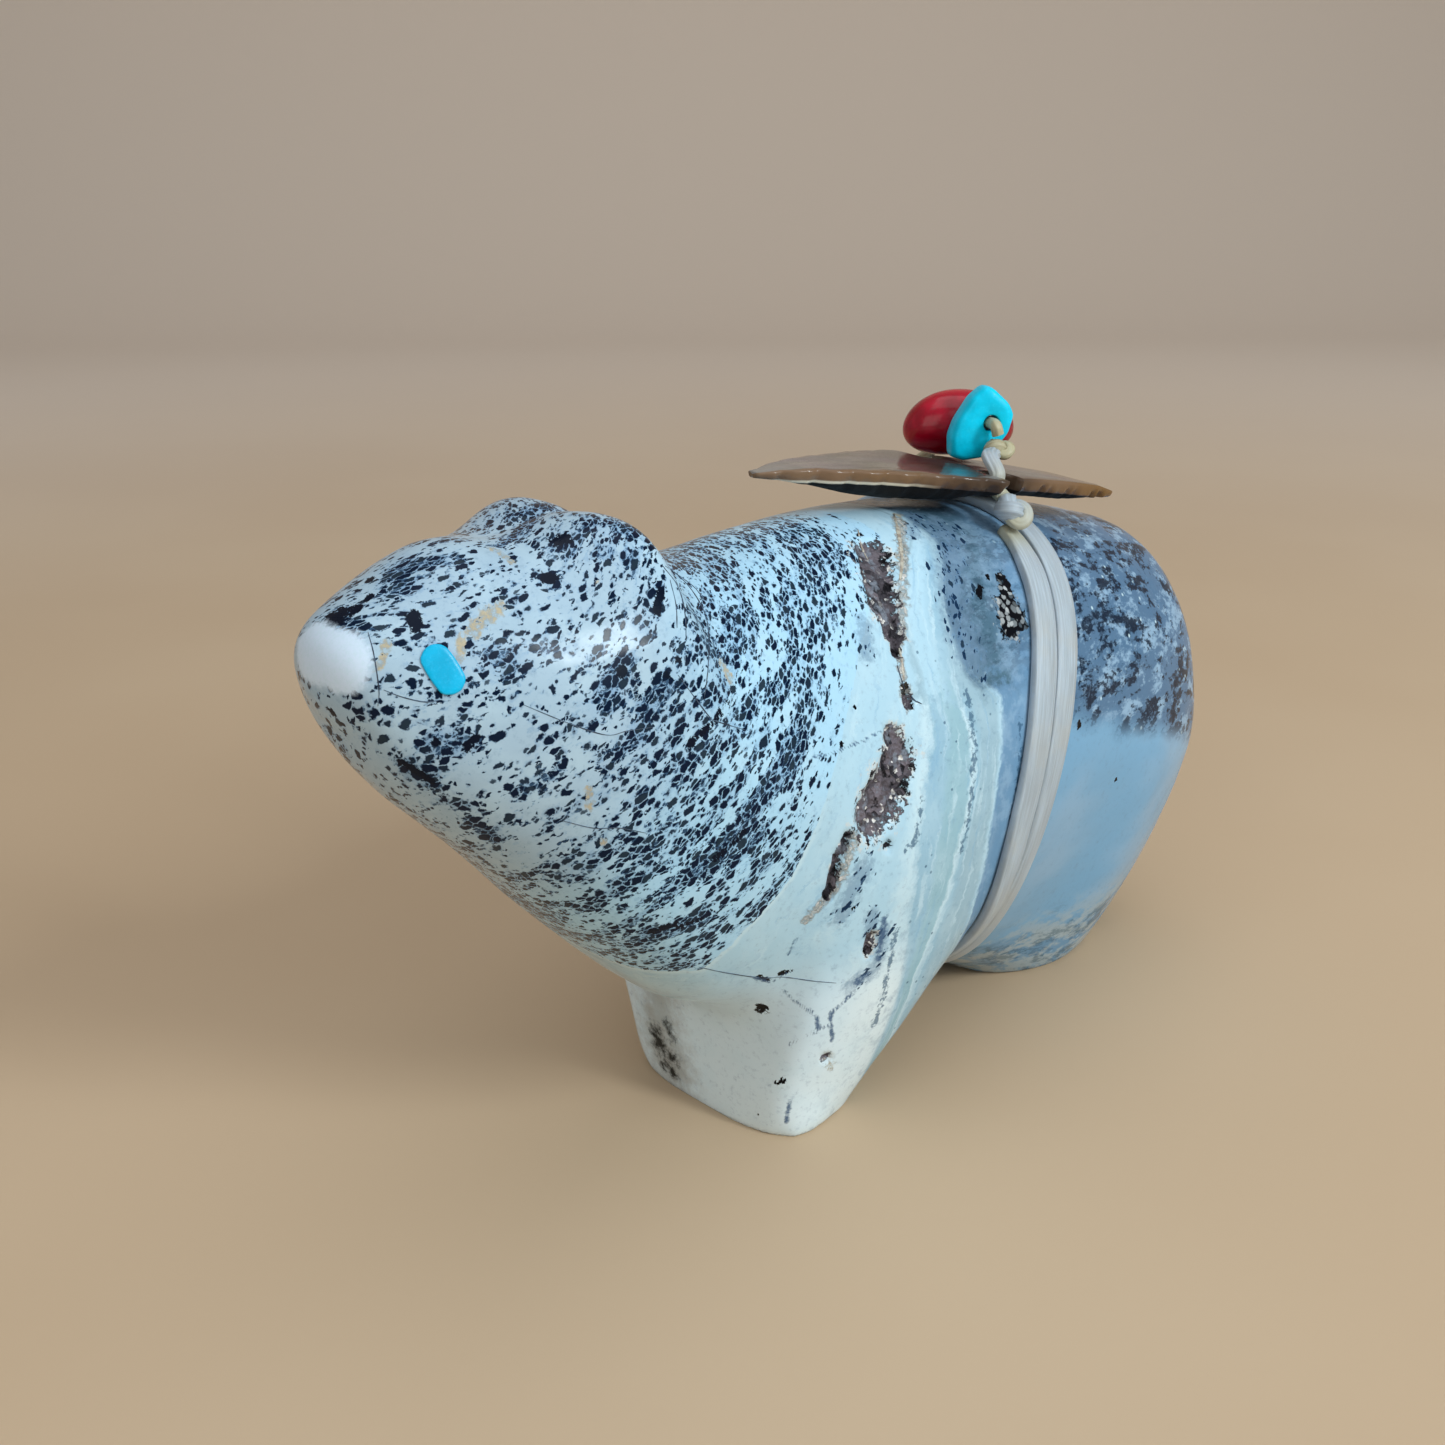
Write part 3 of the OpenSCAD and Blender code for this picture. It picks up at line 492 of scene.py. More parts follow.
def layer_colours(g, at):
    """The layers behind the spots, their fine threads, and the pale ground of the spots."""
    p, layer, height, edge = (at[key] for key in ("p", "layer", "height", "edge"))
    wavy = g.plus(layer, at["uneven"], 0.36)
    share = g.math("DIVIDE", wavy, LAYER_COUNT)
    low, high = (g.steps(share, [(count / LAYER_COUNT, tone) for count, tone in stops])
                 for stops in (LOW_LAYERS, HIGH_LAYERS))
    base = g.mix(g.ramp(g.plus(height, at["uneven"], 8.0), 24.5, 26.5), low, high)

    strip = g.add("CombineXYZ", {0: g.times(wavy, 7.0), 1: g.times(height, 0.22)}).outputs[0]
    light, dim = g.two_grains(strip, 1.0, 4.0, 0.62)
    pale_layers = g.ramp(layer, 3.3, 2.8)
    base = g.over(base, BRIGHT, g.ramp(light, 0.52, 0.70, 0.0, 0.6), pale_layers)
    base = g.over(base, STEEL, g.ramp(dim, 0.55, 0.72, 0.0, 0.45), pale_layers)
    base = g.over(base, DASH, g.flecks(p, 2.6, 0.07, 0.30, 0.15), g.ramp(layer, 0.9, 1.1), pale_layers, 0.75)
    dull = g.ramp(g.grain(p, 0.7, 5.0, 0.65), 0.46, 0.62, 0.0, 0.45)
    base = g.over(base, RUMP_PALE, dull, g.ramp(layer, 2.9, 3.1), g.ramp(layer, 4.05, 3.95))

    base = g.over(base, g.mix(g.ramp(at["from_face"], 9.0, 15.0), HEAD, PALE), at["spotted"])
    rim = g.times(g.ramp(edge, 0.40, 0.10), g.ramp(edge, -0.05, 0.03), g.ramp(height, 24.0, 19.0))
    base = g.over(base, BRIGHT, rim, 0.85)
    base = g.over(base, g.mix(g.ramp(layer, 0.30, 0.85), LEG, LEG_TIP), at["leg"])
    cloudy = g.ramp(g.grain(p, 1.2, 5.0, 0.65), 0.48, 0.66, 0.0, 0.35)
    by_leg = g.times(g.ramp(layer, 0.70, 0.95), g.ramp(layer, 1.6, 1.2), g.ramp(height, 16.0, 12.0))
    base = g.over(base, SMUDGE, cloudy, by_leg)
    # Painted shade: the leg's left side is darkened with a warm tone where it turns from the light
    leg_shade = g.ramp(g.plus(at["leg_shade"], at["uneven"], 1.2), 0.0, 1.0)
    base = g.over(base, LEG_SHADE_TONE, leg_shade, at["leg"], 0.65)
    return g.over(base, BRIGHT, g.ramp(g.grain(p, 0.45, 4.0, 0.55), 0.42, 0.72, 0.0, 0.25), pale_layers)


def rump_colours(g, at, base):
    """Navy flecks, pale patches and small bright dots on the slate of the back and rump."""
    mottle, layer = at["mottle"], at["layer"]
    drawn = g.vector("MULTIPLY", at["p"], (1.0, RUMP_DRAWN, 1.0))
    dark, pale = g.two_grains(drawn, 0.60, 6.0, 0.70)
    grain, thin = g.two_grains(drawn, 1.9, 6.0, 0.68)
    patches = g.ramp(g.grain(drawn, 0.22, 2.0, 0.5), 0.40, 0.66, 0.0, 0.5)
    base = g.over(base, RUMP_PALE, patches, g.ramp(layer, 3.3, 4.1))
    base = g.over(base, RUMP, mottle, 0.9)
    base = g.over(base, RUMP_PALE, g.ramp(g.plus(pale, thin, 0.35), 0.66, 0.78), mottle, 0.85)
    base = g.over(base, NAVY, g.ramp(g.plus(grain, dark, 1.5), 1.25, 1.37), mottle, 0.95)
    base = g.over(base, BRIGHT, g.flecks(at["p"], 1.5, 0.12, 0.24, 0.10), mottle, 0.9)
    foot = g.times(g.ramp(at["height"], 8.0, 3.5), g.ramp(layer, 3.9, 4.1))
    base = g.over(base, RUMP_CREAM, g.ramp(pale, 0.46, 0.56, 0.0, 0.7), foot)
    return g.over(base, TEAL, g.ramp(dark, 0.55, 0.62, 0.0, 0.6), foot)


def spot_layer(g, at, base, bent, density, scale, size, solid):
    """Spots of one size, long along the shells and parted by pale seams, some with a grey heart."""
    across = g.times(at["shell"], SPOT_STRETCH)
    cell = g.cells(bent, scale, across)
    seam = g.cells(bent, scale, across, feature="DISTANCE_TO_EDGE")["Distance"]
    chance, breadth, depth = g.split(cell["Color"])[:3]
    here = g.math("LESS_THAN", chance, density)
    reach = g.plus(g.plus(g.times(breadth, size), at["blot"], 0.20), size)
    inside = g.math("MINIMUM", g.math("SUBTRACT", reach, cell["Distance"]), g.plus(-0.02, seam, 1.5))
    core = g.times(g.ramp(inside, 0.0, 0.12), here)
    strength = g.ramp(depth, 0.05, 0.5, solid, 1.0)
    base = g.over(base, HAZE, g.ramp(inside, -0.25, 0.05), here, strength, 0.3)
    base = g.over(base, g.mix(at["spotted"], BLUE, INK), core, strength)
    heart = g.ramp(depth, 0.45, 0.25, 0.0, 0.6)
    return g.over(base, GREY_HEART, g.ramp(inside, 0.13, 0.26), here, heart), core


def black_spots(g, at, base):
    """Dendrite spots: streaks along the shells, clusters and single black marks."""
    p, blot, dendrite = at["p"], at["blot"], at["dendrite"]
    fine = g.scaled(g.stirred(p, 5.0, 2.0, 0.6), 0.15)
    bent = g.vector("ADD", p, g.vector("ADD", g.scaled(at["stir"], 0.45), fine))
    streak = g.grain(p, 0.20, 2.0, 0.5, g.times(at["shell"], STREAK_STRETCH))
    patch = g.grain(p, 0.30, 2.0, 0.5)
    density = g.times(g.ramp(streak, 0.43, 0.53, 0.36, 1.0), g.ramp(patch, 0.34, 0.60, 0.85, 1.05),
                      at["spots"], at["spotted"])
    density = g.math("MAXIMUM", density, g.times(dendrite, 0.3))
    density = g.times(g.plus(density, blot), g.math("SUBTRACT", 1.0, at["marked"]))
    bigger = g.math("MAXIMUM", g.ramp(at["from_face"], 8.0, 16.0, 0.65, 1.0), blot)
    base = g.over(base, HAZE, g.ramp(density, 0.60, 1.4, 0.0, 0.30))
    base = g.over(base, SMUDGE, torn(g, at, "dendrite", 2.4, 0.0, 0.90, 0.0, 0.60))
    base, _ = spot_layer(g, at, base, bent, g.times(density, 0.55), 3.4, 0.40, 0.70)
    base, big = spot_layer(g, at, base, bent, g.times(density, bigger), 1.80, 0.47, 0.95)
    black = g.mix(at["spotted"], COAL, g.mix(0.5, COAL, INK))
    return g.over(base, black, torn(g, at, "ink", 2.6, 0.12, 0.26)), big


def crystal_pits(g, at, base):
    """Mauve crusts in the open pits, with ash, black holes, white glints and a cream rim."""
    p = at["p"]
    rough = g.plus(at["druse"], at["ragged"], 1.9)
    cavity = g.ramp(rough, 0.27, 0.36)
    rim = g.times(g.ramp(rough, 0.0, 0.24), g.ramp(g.grain(p, 0.8, 3.0), 0.45, 0.55))
    grit = g.grain(p, 3.4, 5.0, 0.72)
    crusted = g.times(torn(g, at, "crust", 2.8, 0.0, 0.65), g.ramp(grit, 0.36, 0.54))
    base = g.over(base, RIND, g.math("MAXIMUM", rim, crusted), 0.8)

    facet, ledge = (g.cells(p, scale) for scale in (1.9, 4.6))
    tilt = g.split(facet["Color"])[0]
    spark = g.split(ledge["Color"])[1]
    hollow = g.grain(p, 0.85, 4.0, 0.62)
    rock = g.mix(tilt, PIT_DARK, PIT_MAUVE)
    rock = g.over(rock, PIT_ASH, g.ramp(hollow, 0.54, 0.64, 0.0, 0.85))
    rock = g.over(rock, PIT_HOLE, g.ramp(hollow, 0.46, 0.39, 0.0, 0.95))
    rock = g.over(rock, GLINT, g.ramp(spark, 0.90, 0.94), g.ramp(hollow, 0.45, 0.55))
    height = g.times(g.plus(g.plus(tilt, facet["Distance"]), ledge["Distance"], 0.5), cavity)

    # Pale chips in the black crystals: partly white crystal, partly painted glints of facets that catch the
    # light
    chip = g.cells(g.vector("ADD", p, g.scaled(at["stir"], 0.5)), 2.9)
    shade, _, lit = g.split(chip["Color"])[:3]
    pale_chip = g.times(g.ramp(lit, 0.50, 0.56), g.ramp(chip["Distance"], 0.66, 0.40))
    black_rock = g.mix(pale_chip, COAL, g.mix(shade, GREY_HEART, FACET))
    base = g.over(base, black_rock, torn(g, at, "crystals", 2.2, 0.18, 0.34))
    base = g.over(base, OLIVE, crusted, g.ramp(grit, 0.60, 0.46), 0.45)
    base = g.over(base, GLINT, crusted, g.ramp(spark, 0.78, 0.84))
    return g.over(base, rock, cavity), cavity, g.plus(height, g.times(crusted, grit), 0.6)


def stone_material():
    g = Shader("polished_spotted_stone")
    at = stone_places(g)
    p = at["p"]
    base = rump_colours(g, at, layer_colours(g, at))
    worn = g.grain(p, 3.2, 5.0, 0.7)
    tan = g.mix(g.ramp(worn, 0.42, 0.60), OLIVE, TAN)
    base = g.over(base, tan, at["marked"], g.ramp(worn, 0.38, 0.58, 0.15, 0.90))
    base, spots = black_spots(g, at, base)
    sugar = g.ramp(g.grain(p, 6.0, 3.0, 0.7), 0.4, 0.65, 0.0, 0.4)
    base = g.over(base, g.mix(sugar, NOSE, BRIGHT), torn(g, at, "nose", 0.45, 0.02, 0.30, sway=0.35))
    base = g.over(base, VEIN_BLUE, torn(g, at, "veins", 2.2, 0.15, 0.95, 0.0, 0.9, sway=1.2))
    base = g.over(base, SOOT, torn(g, at, "soot", 2.2, 0.05, 1.0, 0.0, 0.95, sway=1.4))
    base = g.over(base, DASH, torn(g, at, "dashes", 3.6, 0.45, 0.90), 0.75)
    base, cavity, crust = crystal_pits(g, at, base)

    gloss = g.ramp(g.grain(p, 0.8, 4.0), 0.3, 0.75, 0.12, 0.24)
    relief = g.plus(g.times(g.grain(p, 7.0, 4.0, 0.6), 0.2), spots, -0.5)
    normal = g.bump(crust, 0.9, 0.30, g.bump(relief, 0.10, 0.05))
    return g.finish(Base_Color=base, Roughness=g.math("MAXIMUM", gloss, g.times(cavity, 0.45)),
                    Normal=normal, Specular_IOR_Level=0.10)


# Tones of the cracks and veins, the inlays and the bundle's pieces
CRACK_DARK = rgb(0.012, 0.022, 0.045)
CRACK_PALE = rgb(0.06, 0.11, 0.18)
CRYSTAL_CREAM = rgb(0.52, 0.50, 0.42)
CRYSTAL_BROWN = rgb(0.30, 0.25, 0.20)
INLAY_BLUE = rgb(0.005, 0.47, 0.78)
NUGGET_BLUE = rgb(0.0, 0.70, 1.0)
CORAL_DEEP = rgb(0.27, 0.002, 0.012)
CORAL_RED = rgb(0.46, 0.005, 0.024)
CORAL_FLECK = rgb(0.42, 0.03, 0.05)
SHELL_DARK = rgb(0.070, 0.047, 0.037)
SHELL_PALE = rgb(0.165, 0.126, 0.106)
SHELL_TIP = rgb(0.36, 0.33, 0.31)
SHELL_AMBER = rgb(0.19, 0.105, 0.050)
SHELL_END = rgb(0.19, 0.10, 0.032)
SHELL_SMOKE = rgb(0.030, 0.022, 0.020)
SHELL_NACRE_HIGHLIGHT = rgb(0.72, 0.64, 0.50)
SHELL_UNDER_SHADE = rgb(0.004, 0.003, 0.003)
SINEW_PALE = rgb(0.450, 0.535, 0.600)
SINEW_DEEP = rgb(0.325, 0.375, 0.415)
SINEW_AGED = rgb(0.46, 0.44, 0.38)
SINEW_KNOTTED = rgb(0.46, 0.43, 0.27)
WAXED_PALE = rgb(0.52, 0.49, 0.34)
WAXED_DEEP = rgb(0.34, 0.30, 0.18)
SINEW_DEPTH = (0.8 * MM, 0.6 * MM, 0.45 * MM)


def turquoise_material(name, tone, rough):
    g = Shader(name)
    p = g.millimetres()
    cloud = g.grain(p, 0.9, 4.0, 0.6)
    chalk = g.grain(p, 6.0, 3.0, 0.6)
    darker = rgb(*(c * 0.82 for c in tone[:3]))
    paler = rgb(*(min(1.0, c * 1.05 + 0.03) for c in tone[:3]))
    base = g.mix(g.ramp(cloud, 0.35, 0.68), darker, tone)
    base = g.over(base, paler, g.ramp(chalk, 0.55, 0.75, 0.0, 0.5))
    return g.finish(Base_Color=base, Roughness=g.ramp(chalk, 0.3, 0.7, rough - 0.06, rough + 0.06),
                    Normal=g.bump(g.plus(chalk, cloud), 0.12, 0.06), Specular_IOR_Level=0.18)


def coral_material():
    g = Shader("red_coral")
    p = g.millimetres()
    fine = g.grain(p, 7.0, 3.0, 0.6)
    base = g.mix(g.ramp(g.grain(p, 0.6, 4.0, 0.55), 0.35, 0.7), CORAL_DEEP, CORAL_RED)
    base = g.over(base, CORAL_FLECK, g.ramp(fine, 0.62, 0.75, 0.0, 0.4))
    return g.finish(Base_Color=base, Roughness=g.ramp(fine, 0.3, 0.7, 0.14, 0.22),
                    Normal=g.bump(fine, 0.05, 0.03), Specular_IOR_Level=0.38)


def shell_material():
    g = Shader("curved_shell")
    place = g.place("plate_place")
    _, run, up = g.axes(place)
    layers = g.grain(g.vector("MULTIPLY", place, (1.6, 0.35, 2.0)), 1.0, 5.0, 0.55)
    waved = g.plus(run, layers, 3.0)
    base = g.mix(g.ramp(layers, 0.35, 0.68), SHELL_DARK, SHELL_PALE)
    base = g.mix(0.08, base, g.noise(g.vector("MULTIPLY", place, (0.5, 0.25, 0.5)), 1.0)["Color"])
    base = g.over(base, SHELL_TIP, g.ramp(waved, 9.0, 1.5), 0.55)
    base = g.over(base, SHELL_AMBER, g.ramp(g.plus(g.value("plate_edge"), layers, 0.3), 0.92, 1.10), 0.85)
    base = g.over(base, SHELL_END, g.ramp(waved, 22.0, 26.0), 0.85)
    from_seat = g.math("ABSOLUTE", g.math("SUBTRACT", run, 14.0))
    base = g.over(base, SHELL_SMOKE, g.ramp(from_seat, 6.0, 1.5), 0.75)
    # A pale line along the lower edge toward the tip: partly nacre, partly a painted highlight on the lit rim
    base = g.over(base, SHELL_NACRE_HIGHLIGHT, g.ramp(up, -0.20, -0.30), g.ramp(run, 10.5, 8.0))
    # Painted shade: the plate's underside is near black, for the shadowed gap between the plate and the back
    under = g.ramp(up, -0.38, -0.44)
    fine = g.grain(g.millimetres(), 6.0, 3.0, 0.6)
    return g.finish(Base_Color=g.over(base, SHELL_UNDER_SHADE, under),
                    Roughness=g.plus(g.ramp(fine, 0.3, 0.7, 0.10, 0.20), under, 0.6),
                    Normal=g.bump(g.plus(layers, fine, 0.15), 0.08, 0.10),
                    Coat_Weight=0.05, Coat_Roughness=0.05, Specular_IOR_Level=0.25)


def sinew_material(name, pale, deep):
    g = Shader(name)
    place = g.place("fibre_place")
    fibres = g.grain(g.vector("MULTIPLY", place, (0.28, 9.0, 1.0)), 1.0, 5.0, 0.65)
    strands = g.grain(g.vector("MULTIPLY", place, (0.10, 2.6, 1.0)), 1.0, 3.0, 0.55)
    base = g.mix(g.ramp(fibres, 0.32, 0.70), deep, pale)
    base = g.over(base, deep, g.ramp(strands, 0.50, 0.72, 0.0, 0.5))
    base = g.over(base, SINEW_AGED, g.ramp(g.grain(g.millimetres(), 0.35, 3.0), 0.45, 0.7, 0.0, 0.3))
    base = g.over(base, SINEW_KNOTTED, g.ramp(g.axes(place)[0], 2.6, 0.4, 0.0, 0.75))
    return g.finish(Base_Color=base, Roughness=g.ramp(fibres, 0.3, 0.7, 0.34, 0.55),
                    Normal=g.bump(g.plus(fibres, strands), 0.35, 0.12),
                    Subsurface_Weight=0.25, Subsurface_Radius=SINEW_DEPTH)


def vein_material(name, tone, other, rough):
    g = Shader(name)
    grain = g.grain(g.millimetres(), 3.0, 4.0, 0.65)
    base = g.mix(g.ramp(grain, 0.40, 0.62), tone, other)
    return g.finish(Base_Color=base, Roughness=rough, Normal=g.bump(grain, 0.3, 0.05))


# Mesh pieces
ATTRIBUTE_KINDS = {1: ("FLOAT", "value"), 2: ("FLOAT_VECTOR", "vector")}
STRAND_SIDES = 32
# Ridges of a strand's fibres: how fast they change along it and round it, and their height
FIBRE_RIDGES = [(0.5, 2.2, 1.0), (0.3, 7.0, 0.7)]


def add_mesh(name, points, faces, material):
    """A smooth mesh in the scene, from points in metres."""
    mesh = bpy.data.meshes.new(name)
    mesh.from_pydata(points, [], faces)
    mesh.validate()
    mesh.polygons.foreach_set("use_smooth", np.ones(len(mesh.polygons), bool))
    mesh.materials.append(material)
    item = bpy.data.objects.new(name, mesh)
    bpy.context.scene.collection.objects.link(item)
    return item


def add_piece(name, points, faces, material, slot, nodes=(), attributes=None):
    """A mesh in millimetres that rides on the root and stands for the named nodes."""
    piece = add_mesh(name, (np.asarray(points) * MM).tolist(), faces, material)
    for key, values in (attributes or {}).items():
        values = np.asarray(values, np.float32)
        kind, part = ATTRIBUTE_KINDS[values.ndim]
        piece.data.attributes.new(key, kind, "POINT").data.foreach_set(part, values.ravel())
    piece.data.update()
    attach(piece, "root")
    if nodes:
        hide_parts(*nodes)


def loft(rings, closed_loop=False):
    """Points and faces over rings of equally many points, which run round the same way."""
    n, m = len(rings), len(rings[0])
    points = [p for ring in rings for p in ring]
    faces = [(i * m + j, i * m + (j + 1) % m, (i + 1) % n * m + (j + 1) % m, (i + 1) % n * m + j)
             for i in range(n if closed_loop else n - 1) for j in range(m)]
    if not closed_loop:
        for base, order in ((0, -1), ((n - 1) * m, 1)):
            hub = len(points)
            points.append(np.mean(points[base:base + m], axis=0))
            faces += [(base + j, base + (j + 1) % m, hub)[::order] for j in range(m)]
    return np.array(points), faces


def tube(route, radius, fray, per_step=14, flat=1.0):
    """Rings of a strand along a smooth route, with its fibre coordinates."""
    path = along(route, np.linspace(0, len(route) - 1, (len(route) - 1) * per_step + 1))
    ahead = unit(np.gradient(path, axis=0))
    start = np.array((0, 0, 1.0)) if abs(ahead[0][2]) < 0.9 else np.array((1.0, 0, 0))
    side = unit(np.cross(ahead[0], start))
    run = runs(path)
    rings, places = [], []
    for point, forward, at in zip(path, ahead, run):
        side = unit(side - forward * side.dot(forward))
        across = np.cross(forward, side)
        ring = []
        for c, s in circle(STRAND_SIDES):
            ridge = 1 + fray * sum(height * noise.noise(Vector((at * slow, turn * c, turn * s)))
                                   for slow, turn, height in FIBRE_RIDGES)
            ring.append(point + radius * ridge * (side * c + across * flat * s))
            places.append((at, radius * c, radius * s))
        rings.append(ring)
    return rings, np.array(places + [(run[0], 0, 0), (run[-1], 0, 0)])


def add_strand(name, node, route, radius, material, **shape):
    rings, places = tube(np.array(route), radius, **shape)
    add_piece(name, *loft(rings), material, "sinew", [node], {"fibre_place": places})


# The stone body: fine rings over the ribs, evenly spaced
BODY_RINGS, BODY_POINTS = 330, 420
RIB_SAMPLES, TURN_SAMPLES = 1500, 1441
EVEN_AT = (0, 45, 90, 130)
NOSE_RINGS, NOSE_DOME, NOSE_OPEN = 7, 0.35, 0.6
MUZZLE_RINGS, MUZZLE_PASSES = 40, 14
SOLE_EDGE = 0.22
BROW_AT, BROW_RISE, BROW_WIDE, BROW_LONG = -25.8, 0.70, 3.6, 2.5
BROW_LOW, BROW_HIGH = 31.0, 34.5
# Pulls on the left front foot: place and shift in x and y, reach, height where it ends, sharpness
FOOT_PULLS = [((5.45, -8.75), (0.60, -0.10), 1.9, 5.0, True),
              ((6.10, -7.30), (0.34, 0.0), 1.4, 4.5, False),
              ((6.60, -3.60), (-0.40, -0.40), 3.0, 14.0, False)]


def even_rings():
    """Values of u at even steps along the flanks and the back."""
    u = np.linspace(0, len(RIBS) - 1, RIB_SAMPLES)
    paths = skin(u[:, None], np.array([EVEN_AT]))
    steps = np.linalg.norm(np.diff(paths, axis=0), axis=2).mean(1)
    run = np.r_[0, np.cumsum(steps)]
    return np.interp(np.linspace(0, run[-1], BODY_RINGS), run, u)


def even_angles(u):
    """Angles at even steps round the ring at u."""
    a = np.linspace(0, 360, TURN_SAMPLES)
    run = runs(skin(np.full_like(a, u), a))
    return np.interp(np.linspace(0, run[-1], BODY_POINTS + 1)[:-1], run, a)


def stand(points):
    """Soles ground flat at z = 0, with a worn edge."""
    z = points[..., 2]
    k = SOLE_EDGE
    points[..., 2] = np.where(z > k, z, np.where(z < -k, 0, (z + k) ** 2 / (4 * k)))
    return points


def shape_foot(points):
    """The front feet drawn out to a sharp toe corner and in at the heel, alike on both sides."""
    for place, shift, reach, height, sharp in FOOT_PULLS:
        off = np.hypot(np.abs(points[..., 0]) - place[0], points[..., 1] - place[1]) / reach
        near = np.maximum(0, 1 - off) if sharp else np.exp(-off ** 2)
        near *= smooth(points[..., 2], height, 0.0)
        points[..., 0] += np.sign(points[..., 0]) * shift[0] * near
        points[..., 1] += shift[1] * near
    return points


def raise_brow(points):
    """The low swelling between the eyes and the ears."""
    x, y, z = points[..., 0], points[..., 1], points[..., 2]
    near = np.exp(-(x / BROW_WIDE) ** 2 - ((y - BROW_AT) / BROW_LONG) ** 2)
    points[..., 2] = z + BROW_RISE * near * smooth(z, BROW_LOW, BROW_HIGH)
    return points


def body_rings():
    """Rings over the ribs, with a domed nose, eased over the muzzle so that no rib leaves a crease."""
    rings = [skin(np.full(BODY_POINTS, u), even_angles(u)) for u in even_rings()]
    first = rings[0]
    middle = first.mean(0)
    caps = []
    for k in range(NOSE_RINGS, 0, -1):
        t = math.radians(90 * k / (NOSE_RINGS + NOSE_OPEN))
        caps.append(middle + (first - middle) * math.cos(t) - np.array((0, NOSE_DOME * math.sin(t), 0)))
    rings = np.array(caps + rings)
    for _ in range(MUZZLE_PASSES):
        eased = (rings[:-2] + 2 * rings[1:-1] + rings[2:]) / 4
        rings[1:MUZZLE_RINGS] = eased[:MUZZLE_RINGS - 1]
    return list(raise_brow(shape_foot(stand(rings))))


class Sight:
    """Finds the point of a mesh that a pixel of the photograph shows."""

    def __init__(self, points, faces):
        self.tree = BVHTree.FromPolygons([tuple(p) for p in points], faces)

    def at(self, pixel):
        x, y = ((v - PHOTO_PX / 2) / FOCAL_PX for v in pixel)
        ray = (RIGHT * x - UP * y - BACK).normalized()
        place, normal = self.tree.ray_cast(EYE_POINT, ray)[:2]
        if place is None:
            raise ValueError(f"pixel {pixel} misses the stone")
        return np.array(place), np.array(normal)

    def line(self, pixels):
        return np.array([self.at(p)[0] for p in pixels])


def distance_to(points, line):
    """Distance of every point to a line through a few points."""
    best = np.full(len(points), np.inf)
    for a, b in zip(line[:-1], line[1:]):
        d = b - a
        t = np.clip((points - a) @ d / max(d @ d, 1e-9), 0, 1)
        best = np.minimum(best, np.linalg.norm(points - a - t[:, None] * d, axis=1))
    return best


def mark_field(points, sight, marks):
    """Highest of 1 on a mark's line to 0 at its radius, and below 0 beyond it."""
    best = np.full(len(points), -1.0)
    for pixels, radius in marks:
        line = sight.line(pixels if isinstance(pixels, list) else [pixels, pixels])
        best = np.maximum(best, 1 - distance_to(points, line) / radius)
    return best


def sheet(points, sight, pixels):
    """Place along the stone of a sheet through it, which a line of pixels shows on the flank."""
    line = sight.line(pixels)
    order = np.argsort(line[:, 2])
    return np.interp(points[:, 2], line[order, 2], line[order, 1])


def layer_numbers(points, sight, behind):
    """Layers counted from the end of the spots back to the rump."""
    y = points[:, 1]
    ends = [sheet(points, sight, pixels) for pixels in LAYER_LINES]
    after_spots = np.clip(behind, 0, None)
    to_first = np.maximum(ends[0] - y, 0)
    number = after_spots / np.maximum(after_spots + to_first, LEAST_LAYER)
    for start, end in zip(ends[:-1], ends[1:]):
        number += np.clip((y - start) / np.maximum(end - start, LEAST_LAYER), 0, 1)
    return number + np.clip((y - ends[-1]) / LAST_LAYER, 0, 1)


def paint_stone(points, sight):
    """Marks of the stone, as values on its points."""
    y, z = points[:, 1], points[:, 2]
    behind = SPOT_EDGE_LEAN * (y - sheet(points, sight, SPOT_EDGE))
    lowest = sight.at(SPOT_EDGE[-1])[0][2]
    behind = np.maximum(behind, lowest - z)
    layer = layer_numbers(points, sight, behind)
    face = np.linalg.norm(points - np.array(FACE_MIDDLE), axis=1)
    spots = 0.66 + 0.34 * smooth(face, 6.0, 14.0)
    spots *= 1 - 0.85 * smooth(z, 19.0, 23.0) * smooth(behind, -3.2, -0.6)
    leg = smooth(z, 14.0, 9.0) * smooth(layer, 1.3, 0.9) * smooth(behind, 0.0, 0.5)
    rump = smooth(layer, 3.9, 4.1)
    line_z = RUMP_LINE_Z + RUMP_LINE_SLOPE * (y - RUMP_LINE_Y) + waves(points, RUMP_WAVES)
    mottle = rump * np.maximum(smooth(z - line_z, -0.8, 1.4), 0.35 * smooth(z, 6.0, 3.5))
    upper = smooth(layer, 2.4, 2.8) * smooth(z, 24.0, 27.0) * (1 - rump)
    mottle = np.maximum(mottle, 0.35 * upper)
    values = {"layer": layer, "behind_spots": np.clip(behind, -3, 3), "spots": spots, "leg": leg,
              "mottle": mottle}
    for name, marks in MARKS.items():
        values[name] = mark_field(points, sight, marks)
    for name in ("dendrite", "blot"):
        values[name] = np.clip(values[name], 0, 1)
    return values


PIT_DEPTH = 0.60
# Height, scale and seed of the waves in the polish and of the lumps in the pits
POLISH_WAVES = [(0.05, 0.22, 11.0), (0.02, 0.7, 4.0)]
PIT_WAVES = [(0.4, 1.3, 6.0), (0.3, 2.6, 9.0)]


